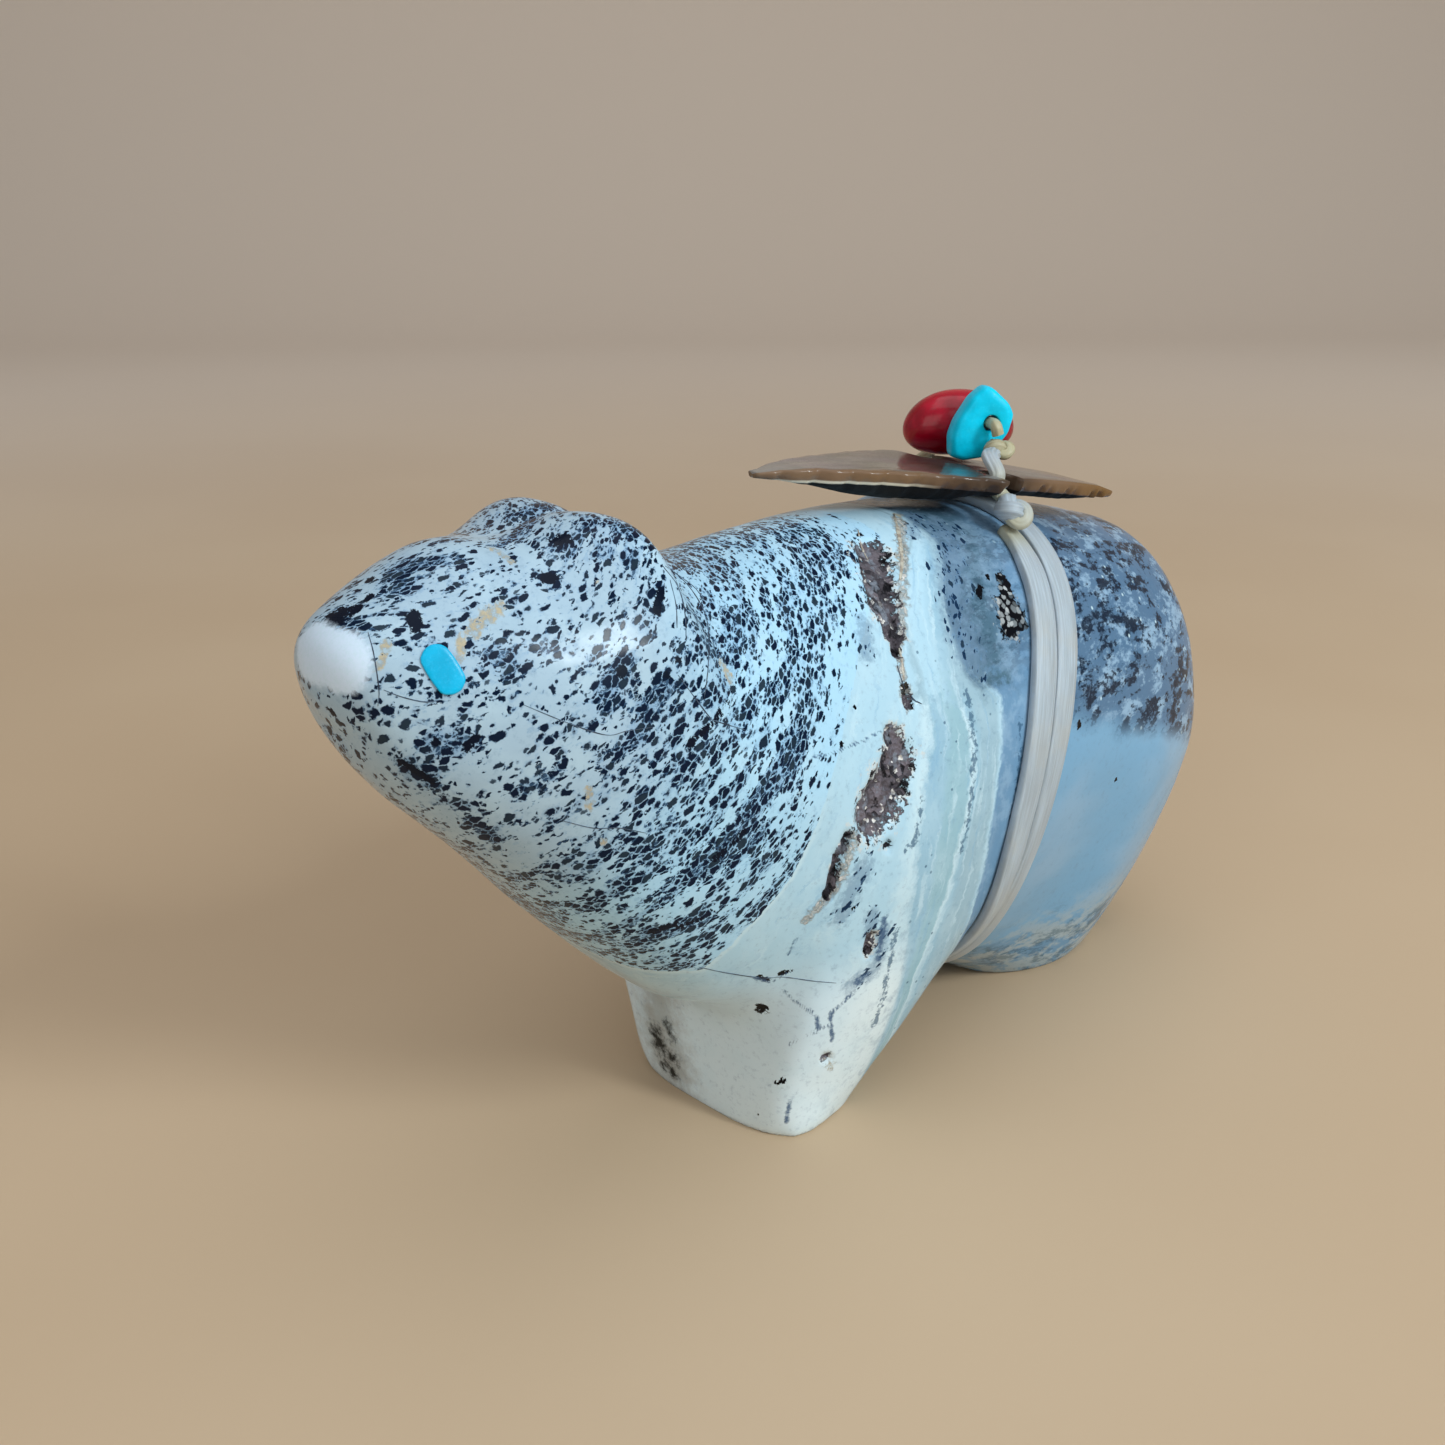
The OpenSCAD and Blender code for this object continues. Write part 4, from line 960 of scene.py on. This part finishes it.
def add_body(material):
    """The stone, with its pits sunk in, and the sight of it for what lies on it."""
    rings = body_rings()
    points, faces = loft(rings)
    marks = paint_stone(points, Sight(points, faces))
    grid = points[:len(rings) * BODY_POINTS].reshape(len(rings), BODY_POINTS, 3)
    around = np.roll(grid, -1, 1) - np.roll(grid, 1, 1)
    out = unit(np.cross(around, np.gradient(grid, axis=0)) + 1e-12).reshape(-1, 3)
    solid = slice(0, len(out))
    lift = waves(points[solid], POLISH_WAVES)
    crust = 0.5 + waves(points[solid], PIT_WAVES)
    depth = smooth(marks["druse"][solid], 0.15, 0.55) * (0.30 + 0.70 * crust)
    off_sole = smooth(points[solid][:, 2], 0.05, 0.6)
    points[solid] += out * ((lift - PIT_DEPTH * depth) * off_sole)[:, None]
    add_piece("stone_bear", points, faces, material, "stone", ["bear_body"], marks)
    return Sight(points, faces)


# Hairline cracks and thin veins, by pixels of the photograph, with half a width in millimetres
DARK_CRACKS = [
    ([(699, 967), (722, 972), (746, 976), (766, 978), (783, 977), (813, 981), (836, 983)], 0.045),
    ([(524, 705), (568, 723), (606, 735), (627, 731), (654, 727)], 0.03),
    ([(678, 675), (708, 715), (716, 721), (745, 730)], 0.035),
    ([(560, 820), (593, 828), (619, 828), (646, 833)], 0.03),
    ([(662, 565), (678, 587), (685, 614), (686, 640)], 0.055),
    ([(665, 566), (684, 581), (700, 603), (708, 627), (708, 667), (704, 699)], 0.05),
    ([(674, 572), (694, 587), (704, 600)], 0.045),
    ([(670, 580), (676, 605), (677, 628)], 0.035),
    ([(694, 614), (705, 634), (706, 650)], 0.04),
    ([(368, 632), (374, 655), (379, 690), (378, 706)], 0.035),
    ([(384, 690), (402, 697), (425, 702), (440, 700)], 0.035),
    ([(908, 690), (913, 699), (922, 704)], 0.07),
    ([(897, 665), (901, 678), (905, 690)], 0.05)]
PALE_VEINS = [
    ([(894, 514), (899, 535), (902, 560), (900, 580)], 0.16),
    ([(899, 648), (902, 662), (904, 680)], 0.09),
    ([(858, 530), (862, 548), (868, 560)], 0.08)]
VEIN_STEP_PX = 4.0
VEIN_LEAST_STEPS = 4
VEIN_SIDES = 8
VEIN_HALF_HEIGHT = 0.025


def add_veins(name, lines, sight, material):
    """Thin flat lines let into the stone, tapered to their ends."""
    points, faces = [], []
    for pixels, half in lines:
        corners = np.array(pixels, float)
        run = runs(corners)
        count = max(VEIN_LEAST_STEPS, int(run[-1] / VEIN_STEP_PX))
        route = along(corners, np.interp(np.linspace(0, run[-1], count), run, np.arange(len(run))))
        found = [sight.at(tuple(q)) for q in route]
        path = np.array([place for place, _ in found])
        out = unit([normal for _, normal in found])
        side = unit(np.cross(np.gradient(path, axis=0), out))
        rings = []
        for i in range(count):
            wander = 0.75 + 0.5 * noise.noise(Vector(path[i] * 2.5))
            wide = half * wander * math.sin(math.pi * (i + 0.6) / (count + 0.2)) ** 0.4
            rings.append([path[i] + side[i] * wide * c + out[i] * VEIN_HALF_HEIGHT * s
                          for c, s in circle(VEIN_SIDES)])
        more_points, more_faces = loft(rings)
        faces += [tuple(i + len(points) for i in f) for f in more_faces]
        points += list(more_points)
    add_piece(name, points, faces, material, "stone")


# Inlaid eyes: millimetres and degrees, and shares of the outline with their heights
EYE_LENGTH, EYE_WIDTH, EYE_DEPTH = 2.2, 1.3, 0.9
EYE_ANGLE, EYE_SLANT = 65, 16
EYE_POINTS = 64
EYE_WEAR = 0.035
EYE_PROFILE = [(1.0, -EYE_DEPTH), (1.0, 0.02), (0.975, 0.055), (0.92, 0.075), (0.7, 0.09), (0.35, 0.10)]


def add_eye(name, node, mirror, material):
    centre = skin(SNOUT, EYE_ANGLE)
    down, _, out = skin_axes(SNOUT, EYE_ANGLE)
    slant = math.radians(EYE_SLANT)
    x = down * math.cos(slant) + np.cross(out, down) * math.sin(slant)
    y = np.cross(out, x)
    straight = (EYE_LENGTH - EYE_WIDTH) / 2
    outline = []
    for c, s in circle(EYE_POINTS):
        wear = 1 + EYE_WEAR * noise.noise(Vector((2 * c, 2 * s, 4.0)))
        end = straight * math.copysign(min(1, abs(c) * 3), c)
        outline.append(np.array((end + EYE_WIDTH / 2 * c, EYE_WIDTH / 2 * s)) * wear)
    rings = [[centre + x * p[0] * share + y * p[1] * share + out * height for p in outline]
             for share, height in EYE_PROFILE]
    points, faces = loft(rings)
    if mirror:
        points[:, 0] *= -1
        faces = [f[::-1] for f in faces]
    add_piece(name, points, faces, material, "turquoise", [node])


# The sinew's winding, as the solids have it
SINEW_PITCH, SINEW_BOW, SINEW_BEHIND = 2.0, 3.2, 1.0
SINEW_GAP, SINEW_THICK = 0.12, 0.6
SINEW_WIDE, SINEW_SINK = 1.86, 0.06
GATHER_RUN, GATHER_WIDE = 3.5, 0.62
WRAP_FROM = 26
WRAP_TURNS = 2 - 2 * WRAP_FROM / 360
WRAP_STEPS, WRAP_POINTS = 520, 44
WRAP_RIB_STEP, WRAP_TURN_STEP = 0.2, 2


def rib_step(u, a):
    """Millimetres from rib to rib, along the skin."""
    span = skin(np.add(u, WRAP_RIB_STEP), a) - skin(np.subtract(u, WRAP_RIB_STEP), a)
    return np.linalg.norm(span, axis=-1) / (2 * WRAP_RIB_STEP)


def wrap_middle(a):
    """The middle of the winding at the angle a."""
    girth = np.full_like(np.asarray(a, float), GIRTH)
    lean = SINEW_BEHIND - SINEW_BOW * np.sin(np.radians(a)) ** 4
    return GIRTH + lean / rib_step(girth, a)


def wrap_u(a, behind):
    """The place at the angle a that lies as far behind the winding's middle as asked."""
    u = wrap_middle(a)
    before, after = (skin(wrap_middle(b), b) for b in (a - WRAP_TURN_STEP, a + WRAP_TURN_STEP))
    share = np.linalg.norm(np.cross(unit(after - before), skin_axes(u, a)[1]), axis=-1)
    return u + behind / share / rib_step(u, a)


def wrap_frame():
    """Points of the band's middle line, with its directions ahead, aside and out."""
    t = np.linspace(0, 1, WRAP_STEPS + 1)
    a = WRAP_FROM + 360 * WRAP_TURNS * t
    u = wrap_u(a, SINEW_PITCH * WRAP_TURNS * (t - 0.5))
    out = skin_axes(u, a)[2]
    path = skin(u, a) + out * (SINEW_GAP + SINEW_THICK / 2)
    ahead = unit(np.gradient(path, axis=0))
    return path, ahead, unit(np.cross(out, ahead)), out


WRAP_PATH, WRAP_AHEAD, WRAP_SIDE, WRAP_OUT = wrap_frame()


def add_wrap(material):
    """The flat band, with a fibrous crown above and its underside sunk on the stone."""
    run = runs(WRAP_PATH)
    rings, places = [], []
    for i, at in enumerate(run):
        gathered = float(smooth(min(at, run[-1] - at), 0.0, GATHER_RUN))
        width = SINEW_WIDE * (GATHER_WIDE + (1 - GATHER_WIDE) * gathered)
        width *= 1 + 0.05 * noise.noise(Vector((at * 0.35, 0.0, 2.0)))
        ring = []
        for c, s in circle(WRAP_POINTS, 0.5):
            across = width / 2 * float(power(c, 0.55))
            crown = SINEW_THICK / 2 * float(power(s, 0.6))
            if crown > 0:
                fibre = noise.noise(Vector((at * 0.10, across * 5.0, 1.0)))
                crown *= 0.72 + 0.28 * (1 - (2 * across / width) ** 2) + 0.16 * fibre
            else:
                crown *= 1 + (SINEW_GAP + SINEW_SINK) / (SINEW_THICK / 2)
            ring.append(WRAP_PATH[i] + WRAP_SIDE[i] * across + WRAP_OUT[i] * crown)
            places.append((at, across, 0.0))
        rings.append(ring)
    places += [(run[0], 0, 0), (run[-1], 0, 0)]
    add_piece("sinew_band", *loft(rings), material, "sinew", ["sinew_wrap"], {"fibre_place": places})


# The arrowhead, in its own frame: x to its left edge, y from the tip to the base, z up
BLADE_LEN, BLADE_W, TIP_W = 14.0, 10.8, 1.0
NOTCH_LEN, NECK_W = 2.4, 4.4
BASE_LEN, BASE_W, BASE_END_W, BASE_CORNER = 10.0, 8.0, 4.0, 0.8
SHELL_T, SHELL_BEND, SHELL_LENS, SHELL_KEEL = 0.8, 130.0, 0.5, 0.45
FLAKE, FLAKE_PITCH = 0.2, 1.9
ARROW_YAW, ARROW_PITCH, ARROW_ROLL = 12, 8, 2
ARROW_SIDE, ARROW_LIFT = 1.9, 0.7
SEAT_Y = BLADE_LEN + NOTCH_LEN
ARROW_LEN = SEAT_Y + BASE_LEN
CROSSING = skin(wrap_u(np.array(0.0), 0.0), 0.0)
SEAT = CROSSING + np.array((ARROW_SIDE, 0, SINEW_GAP + SINEW_THICK + ARROW_LIFT + SHELL_T / 2))
ARROW_TURN = np.array(Matrix.Rotation(math.radians(-ARROW_YAW), 3, "Z")
                      @ Matrix.Rotation(math.radians(-ARROW_PITCH), 3, "X")
                      @ Matrix.Rotation(math.radians(ARROW_ROLL), 3, "Y"))
REST_GAP = 0.3
ON_PLATE = SHELL_T / 2 + REST_GAP
ARROW_ROWS, NOTCH_ROWS, ROW_POINTS = 190, 60, 33
NOTCH_PAST, STEP_BESIDE = 0.02, 0.001
# The plate's rim from its top down: shift outward, share of a chip's depth, level, and a chip's rise
RIM = [(0.02, 0.0, 0.45, 0.0), (-0.02, 0.3, -0.2, 0.4), (-0.08, 0.7, -0.75, 1.0), (-0.16, 1.0, -1.0, 0.0)]
RIM_EDGE = 1.1
UNDER_IN, UNDER_DROP = 0.20, 0.03


def arrow_point(p):
    return SEAT + (np.asarray(p, float) - np.array((0, SEAT_Y, 0))) @ ARROW_TURN.T


def half_width(y, side):
    """Half the plate's width at y, with flake scars along the blade and round notches."""
    if y < BLADE_LEN:
        wide = TIP_W / 2 + (BLADE_W - TIP_W) / 2 * (y / BLADE_LEN) ** 0.9
        scar = abs(math.sin(math.pi * y / FLAKE_PITCH + side)) ** 0.7
        return wide - FLAKE * (1 - scar) * 1.2 - 0.10 * (1 + noise.noise(Vector((y * 1.3, side * 5.0, 0))))
    if y < SEAT_Y:
        radius = NOTCH_LEN / 2
        d = y - BLADE_LEN - radius
        return NECK_W / 2 + radius - math.sqrt(max(0, radius ** 2 - d * d))
    share = (y - SEAT_Y) / (BASE_LEN - BASE_CORNER)
    if share < 1:
        return BASE_W / 2 + (BASE_END_W + BASE_CORNER - BASE_W) / 2 * share
    past = (y - ARROW_LEN + BASE_CORNER) / BASE_CORNER
    return BASE_END_W / 2 + math.sqrt(max(0, 1 - past ** 2)) * BASE_CORNER / 2


def plate_row(y):
    """Points round the plate at y: x, z and how near each is to the edge."""
    thick = SHELL_T / 2 * min(1.0, 0.35 + y / 4.0, 0.45 + (ARROW_LEN - y) / 3.0)
    worn_back = 0.25 + 0.75 * smooth(y, 7.0, 10.0)
    left, right = ((half_width(y, side), worn_back * abs(noise.noise(Vector((y * 1.1, seed, 7.0)))))
                   for side, seed in ((1.0, 2.0), (-1.0, 6.0)))
    # The belly and keel bring the underside's painted shade down into the gap over the back
    belly = SHELL_LENS * (smooth(y, 1.0, 6.0) * smooth(ARROW_LEN - y, 0.5, 5.0))
    belly += SHELL_KEEL * (smooth(y, 3.0, 8.5) * smooth(SEAT_Y - y, 2.6, 5.5))
    top, under = [], []
    for s in np.linspace(-1, 1, ROW_POINTS):
        width, chip = left if s > 0 else right
        worn = 0.16 * max(0.0, abs(s) - 0.86) / 0.14
        ripple = 0.03 * noise.noise(Vector((s * 2.0, y * 0.35, 3.0)))
        top.append((s * width, thick * (1 - worn) + ripple, abs(s)))
        low = -thick - UNDER_DROP - belly * (1 - abs(s) ** 5)
        under.append((s * (width - UNDER_IN - chip), low, abs(s)))
    left_rim, right_rim = (
        [(sign * (width + out - chip * share), thick * (level + chip * rise), RIM_EDGE)
         for out, share, level, rise in RIM] for sign, (width, chip) in ((1, left), (-1, right)))
    return top + left_rim + under[::-1] + right_rim[::-1]


def add_arrowhead(material):
    beside = [end + step for end in (BLADE_LEN, SEAT_Y) for step in (-STEP_BESIDE, STEP_BESIDE)]
    notch = np.linspace(BLADE_LEN - NOTCH_PAST, SEAT_Y + NOTCH_PAST, NOTCH_ROWS)
    rings, places, edges = [], [], []
    for y in np.unique(np.r_[np.linspace(0, ARROW_LEN, ARROW_ROWS), notch, beside]):
        drop = (y - ARROW_LEN / 2) ** 2 / (2 * SHELL_BEND)
        row = plate_row(y)[::-1]
        rings.append([arrow_point((x, y, z - drop)) for x, z, _ in row])
        places += [(x, y, z) for x, z, _ in row]
        edges += [edge for _, _, edge in row]
    for values in (places, edges):
        values += [values[0], values[-1]]
    add_piece("shell_arrowhead", *loft(rings), material, "shell", ["arrowhead"],
              {"plate_place": places, "plate_edge": edges})


# Beads on their strand
NUGGET_W, NUGGET_H, NUGGET_T = 3.8, 4.4, 2.0
NUGGET_BEHIND, NUGGET_RIGHT = 1.4, 0.8
NUGGET_OUTLINE = [(-0.63, -0.19), (-0.61, -0.45), (-0.41, -0.51), (-0.07, -0.47), (0.12, -0.32),
                  (0.29, -0.15), (0.37, 0.11), (0.29, 0.26), (0.02, 0.47), (-0.12, 0.49),
                  (-0.32, 0.34), (-0.54, 0.04)]
# Rings over the nugget: share of the way from its bore to its outline, face, and depth from that face
NUGGET_RINGS = [(0, 1, -0.06), (0.06, 1, 0), (0.5, 1, 0), (0.84, 1, -0.03), (0.93, 1, -0.16),
                (0.985, 1, -0.42), (1, 0, 0.25), (1, 0, -0.3), (0.97, -1, 0.4), (0.88, -1, 0.1),
                (0.5, -1, 0), (0.06, -1, 0), (0, -1, 0.06), (0, 0, 0)]
NUGGET_FOOT = 0.51
NUGGET_POINTS = 96
CORNER_CUT, CORNER_ROUNDS = 0.14, 2
CORAL_LEN, CORAL_D, CORAL_SIDE, CORAL_GAP = 7.0, 4.0, 0.9, 0.05
CORAL_DROOP = 0.4
CORAL_ROWS, CORAL_POINTS = 60, 64
STRAND_D, STRAND_TURN, BORE_GAP = 0.7, 40, 0.15
STRAND_MID = (arrow_point((-NUGGET_RIGHT, SEAT_Y + NUGGET_BEHIND, ON_PLATE))
              + np.array((0, 0, NUGGET_FOOT * NUGGET_H)))
STRAND_AXES = np.array(Matrix.Rotation(math.radians(-STRAND_TURN), 3, "Z"))
CORAL_X = -(NUGGET_T / 2 + REST_GAP + CORAL_D / 2)
CORAL_DROP = NUGGET_FOOT * NUGGET_H + REST_GAP - CORAL_GAP - CORAL_D / 2


def strand_point(p):
    return STRAND_MID + np.asarray(p, float) @ STRAND_AXES.T


def worn_outline(corners, count):
    """A closed outline with its corners cut a few times, as many points as asked."""
    line = np.array(corners)
    keep = 1 - CORNER_CUT
    for _ in range(CORNER_ROUNDS):
        ahead = np.roll(line, -1, 0)
        line = np.stack([keep * line + CORNER_CUT * ahead, CORNER_CUT * line + keep * ahead], 1)
        line = line.reshape(-1, 2)
    closed = np.vstack([line, line[:1]])
    run = runs(closed)
    at = np.linspace(0, run[-1], count + 1)[:-1]
    return np.c_[np.interp(at, run, closed[:, 0]), np.interp(at, run, closed[:, 1])]


def add_nugget(material):
    outline = worn_outline(NUGGET_OUTLINE, NUGGET_POINTS) * np.array((NUGGET_W, NUGGET_H))
    start = int(np.argmin(np.abs(np.arctan2(outline[:, 1], outline[:, 0]))))
    outline = np.roll(outline, -start, 0)
    angle = np.unwrap(np.arctan2(outline[:, 1], outline[:, 0]))
    hole = np.c_[np.cos(angle), np.sin(angle)] * (STRAND_D / 2 + BORE_GAP)
    rings = []
    for share, face, offset in NUGGET_RINGS:
        depth = face * NUGGET_T / 2 + offset
        ring = []
        for x, y in hole + (outline - hole) * share:
            chip = 0.05 * noise.noise(Vector((x * 1.2, y * 1.2, depth)))
            ring.append(strand_point((depth + chip * (share > 0), x, y)))
        rings.append(ring)
    add_piece("turquoise_nugget", *loft(rings, closed_loop=True), material, "turquoise", ["turquoise_bead"])


def add_coral(material):
    rings = []
    for k in range(1, CORAL_ROWS):
        t = -math.cos(math.pi * k / CORAL_ROWS)
        radius = CORAL_D / 2 * math.sqrt(1 - abs(t) ** 2.4)
        ring = []
        for c, s in circle(CORAL_POINTS):
            r = radius * (1 + 0.025 * noise.noise(Vector((c, t * 1.5, s)) * 1.3))
            ring.append(strand_point((CORAL_X + r * c, t * CORAL_LEN / 2 - CORAL_SIDE,
                                      r * s - CORAL_DROP - CORAL_DROOP * t * t)))
        rings.append(ring[::-1])
    add_piece("coral_oval", *loft(rings), material, "coral", ["coral_bead"])


# Knots and the strands between them
KNOT_D, KNOT_GAP, KNOT_LEFT, KNOT_BEHIND = 1.3, 0.1, 0.8, 0.4
TIE_D = 1.0
KNOT_R = KNOT_D / 2
KNOT_RISE = SINEW_THICK / 2 + KNOT_GAP + KNOT_R
KNOT_STEPS = 18
KNOT_SHAPE = {"per_step": 8, "flat": 0.8, "fray": 0.18}
KNOT_ROUND, KNOT_DEEP = 0.8, 0.85
STRAND_FRAY, TIE_FLAT = 0.16, 0.75
# Size of a knot's loops and half the thickness of its strand
BROAD_KNOT, SMALL_KNOT = (0.78, 0.56), (0.66, 0.42)


def on_wrap(i, f):
    shift = WRAP_AHEAD[i] * f[0] + WRAP_SIDE[i] * f[1] + WRAP_OUT[i] * f[2]
    return WRAP_PATH[i] + WRAP_OUT[i] * KNOT_RISE + shift * KNOT_R


def on_shell(f):
    at = np.array((KNOT_LEFT, SEAT_Y + KNOT_BEHIND, ON_PLATE + KNOT_R))
    return arrow_point(at + np.array(f) * KNOT_R)


def leaving(fold, to):
    return fold + unit(to - fold) * (KNOT_R + KNOT_GAP)


LEFT_FOLDS = [on_wrap(0, f) for f in ((0, 0, 0), (0.2, -0.9, 0), (-0.8, -0.2, 0.3))]
RIGHT_FOLDS = [on_wrap(-1, f) for f in ((0, 0, 0), (-0.2, 0.9, 0), (0.8, 0.2, 0.3))]
BEAD_FOLDS = [on_shell(f) for f in ((0, 0, 0), (0.4, 0.5, 0.5))]


def add_knot(name, node, folds, axes, size, strand, material):
    """A tied knot: one strand that runs through itself three times, drawn tight."""
    middle = np.mean(folds, axis=0)
    x, y, z = axes
    route = []
    for k in range(KNOT_STEPS + 1):
        t = 2 * math.pi * k / KNOT_STEPS
        curve = (math.sin(t) + 2 * math.sin(2 * t), math.cos(t) - 2 * math.cos(2 * t), -math.sin(3 * t))
        turned = x * curve[0] + y * curve[1] * KNOT_ROUND + z * curve[2] * KNOT_DEEP
        route.append(middle + size / 3 * turned)
    add_strand(name, node, route, strand, material, **KNOT_SHAPE)


def add_ties(pale, waxed):
    """The tie through the near notch, the strand through both beads, and the three knots."""
    notch_y = BLADE_LEN + NOTCH_LEN / 2
    beside = NECK_W / 2 + REST_GAP + TIE_D / 2
    in_notch = arrow_point((beside, notch_y, -SHELL_T / 2))
    at_rim = arrow_point((beside, notch_y, SHELL_T / 2))
    over_neck = arrow_point((NECK_W / 2, notch_y, ON_PLATE + TIE_D / 2))
    route = [leaving(LEFT_FOLDS[2], in_notch), in_notch, at_rim, over_neck,
             leaving(BEAD_FOLDS[0], over_neck)]
    add_strand("notch_tie", "left_tie", route, TIE_D / 2, pale, flat=TIE_FLAT, fray=STRAND_FRAY)

    near_bend = strand_point((NUGGET_T / 2 + STRAND_D, 0, 0))
    exit_x = CORAL_X - CORAL_D / 2
    hang = strand_point((exit_x - 2 * STRAND_D, -STRAND_D, -CORAL_D / 2))
    through = [strand_point((x, 0, 0)) for x in (0, CORAL_X, exit_x, exit_x - STRAND_D)]
    route = [leaving(BEAD_FOLDS[1], near_bend), near_bend, *through, hang, leaving(RIGHT_FOLDS[2], hang)]
    add_strand("bead_cord", "bead_strand", route, STRAND_D / 2, waxed, fray=STRAND_FRAY)

    near_axes, far_axes = ((WRAP_AHEAD[i], WRAP_SIDE[i], WRAP_OUT[i]) for i in (0, -1))
    add_knot("gathered_knot", "left_knot", LEFT_FOLDS, near_axes, *BROAD_KNOT, pale)
    add_knot("far_knot", "right_knot", RIGHT_FOLDS, far_axes, *BROAD_KNOT, pale)
    add_knot("waxed_knot", "bead_knot", BEAD_FOLDS, ARROW_TURN.T, *SMALL_KNOT, waxed)


# Stage and light, in metres and watts
FLOOR_SIZE, FLOOR_RUN, FLOOR_BEND, BEND_STEPS = 1.4, 0.45, 0.25, 14
BEND_FROM = 0.1
FLOOR_TONE = rgb(0.535, 0.388, 0.250)
FLOOR_PALE = rgb(0.565, 0.420, 0.278)
BACKDROP_PAINTED_LIGHT = rgb(0.75, 0.63, 0.52)
HIGHLIGHT_PIXEL = (612, 640)
KEY_DISTANCE, KEY_SIZE, KEY_POWER = 0.34, (0.035, 0.11), 0.50
KEY_TONE = (0.90, 0.97, 1.0)
DAYLIGHT = (0.93, 0.97, 1.0)
WINDOW_BLUE = (0.80, 0.94, 1.0)
ROOM_WARM = (1.0, 0.96, 0.90)
# Place, size, power and tone of the soft fill lights, and the point that they face
SOFTBOXES = [("top_softbox", (0.05, 0.02, 0.55), 0.5, 0.94, DAYLIGHT),
             ("side_softbox", (0.45, 0.10, 0.24), 0.3, 0.66, WINDOW_BLUE),
             ("front_softbox", (0.52, -0.15, 0.38), 0.45, 0.46, DAYLIGHT),
             ("room_softbox", (0.12, -0.55, 0.28), 0.4, 0.55, ROOM_WARM)]
LIT_MIDDLE = (0, 0, 0.018)
ROOM_TONE, ROOM_LEVEL = rgb(0.92, 0.96, 1.0), 0.34


def floor_material():
    g = Shader("pale_floor")
    p = g.millimetres()
    base = g.mix(g.ramp(g.grain(p, 0.012, 3.0), 0.35, 0.7), FLOOR_TONE, FLOOR_PALE)
    # Painted light: the floor turns paler with distance from the object, up into the backdrop
    base = g.over(base, BACKDROP_PAINTED_LIGHT, g.ramp(g.length(p), 80.0, 420.0))
    return g.finish(Base_Color=base, Roughness=0.75, Normal=g.bump(g.grain(p, 0.8, 3.0), 0.05, 0.2))


def add_stage():
    """A floor that bends up into a backdrop behind the object, as seen by the camera."""
    flat_back = Vector((-BACK.x, -BACK.y, 0)).normalized()
    side = Vector((flat_back.y, -flat_back.x, 0))
    profile = [(-FLOOR_SIZE, 0.0), (FLOOR_RUN, 0.0)]
    profile += [(FLOOR_RUN + FLOOR_BEND * math.sin(t), FLOOR_BEND * (1 - math.cos(t)))
                for t in np.linspace(BEND_FROM, math.pi / 2, BEND_STEPS)]
    profile += [(FLOOR_RUN + FLOOR_BEND, FLOOR_SIZE)]
    points = [flat_back * run + side * s + Vector((0, 0, height))
              for run, height in profile for s in (-FLOOR_SIZE, FLOOR_SIZE)]
    faces = [(2 * i, 2 * i + 1, 2 * i + 3, 2 * i + 2) for i in range(len(profile) - 1)]
    floor = add_mesh("floor", points, faces, floor_material())


def add_softbox(name, place, aim, size, power_w, tone):
    lamp = bpy.data.lights.new(name, "AREA")
    lamp.shape = "RECTANGLE"
    lamp.size, lamp.size_y = size
    lamp.energy = power_w
    lamp.color = tone
    item = bpy.data.objects.new(name, lamp)
    item.location = place
    item.rotation_euler = (Vector(aim) - Vector(place)).to_track_quat("-Z", "Y").to_euler()
    bpy.context.scene.collection.objects.link(item)


def add_light(sight):
    """A softbox stands where the highlight on the brow mirrors it, with a broad fill."""
    place, normal = sight.at(HIGHLIGHT_PIXEL)
    place, normal = Vector(place), Vector(normal).normalized()
    to_eye = (EYE_POINT - place).normalized()
    mirror = (2 * normal.dot(to_eye) * normal - to_eye).normalized()
    key_place = (place + mirror * KEY_DISTANCE / MM) * MM
    add_softbox("key_softbox", key_place, place * MM, KEY_SIZE, KEY_POWER, KEY_TONE)
    for name, spot, size, power_w, tone in SOFTBOXES:
        add_softbox(name, spot, LIT_MIDDLE, (size, size), power_w, tone)
    world = bpy.data.worlds.new("soft_room")
    world.use_nodes = True
    ground = world.node_tree.nodes["Background"]
    ground.inputs["Color"].default_value = ROOM_TONE
    ground.inputs["Strength"].default_value = ROOM_LEVEL
    bpy.context.scene.world = world


def main():
    bpy.context.scene.view_settings.view_transform = "Standard"
    add_camera()
    sight = add_body(stone_material())
    add_veins("dark_cracks", DARK_CRACKS, sight,
              vein_material("crack_lines", CRACK_DARK, CRACK_PALE, 0.35))
    add_veins("pale_veins", PALE_VEINS, sight,
              vein_material("crystal_veins", CRYSTAL_CREAM, CRYSTAL_BROWN, 0.3))
    inlay = turquoise_material("turquoise_inlay", INLAY_BLUE, 0.26)
    add_eye("left_inlay", "left_eye", False, inlay)
    add_eye("right_inlay", "right_eye", True, inlay)
    pale = sinew_material("pale_sinew", SINEW_PALE, SINEW_DEEP)
    waxed = sinew_material("waxed_sinew", WAXED_PALE, WAXED_DEEP)
    add_wrap(pale)
    add_arrowhead(shell_material())
    add_nugget(turquoise_material("turquoise_nugget", NUGGET_BLUE, 0.36))
    add_coral(coral_material())
    add_ties(pale, waxed)
    add_stage()
    add_light(sight)


main()
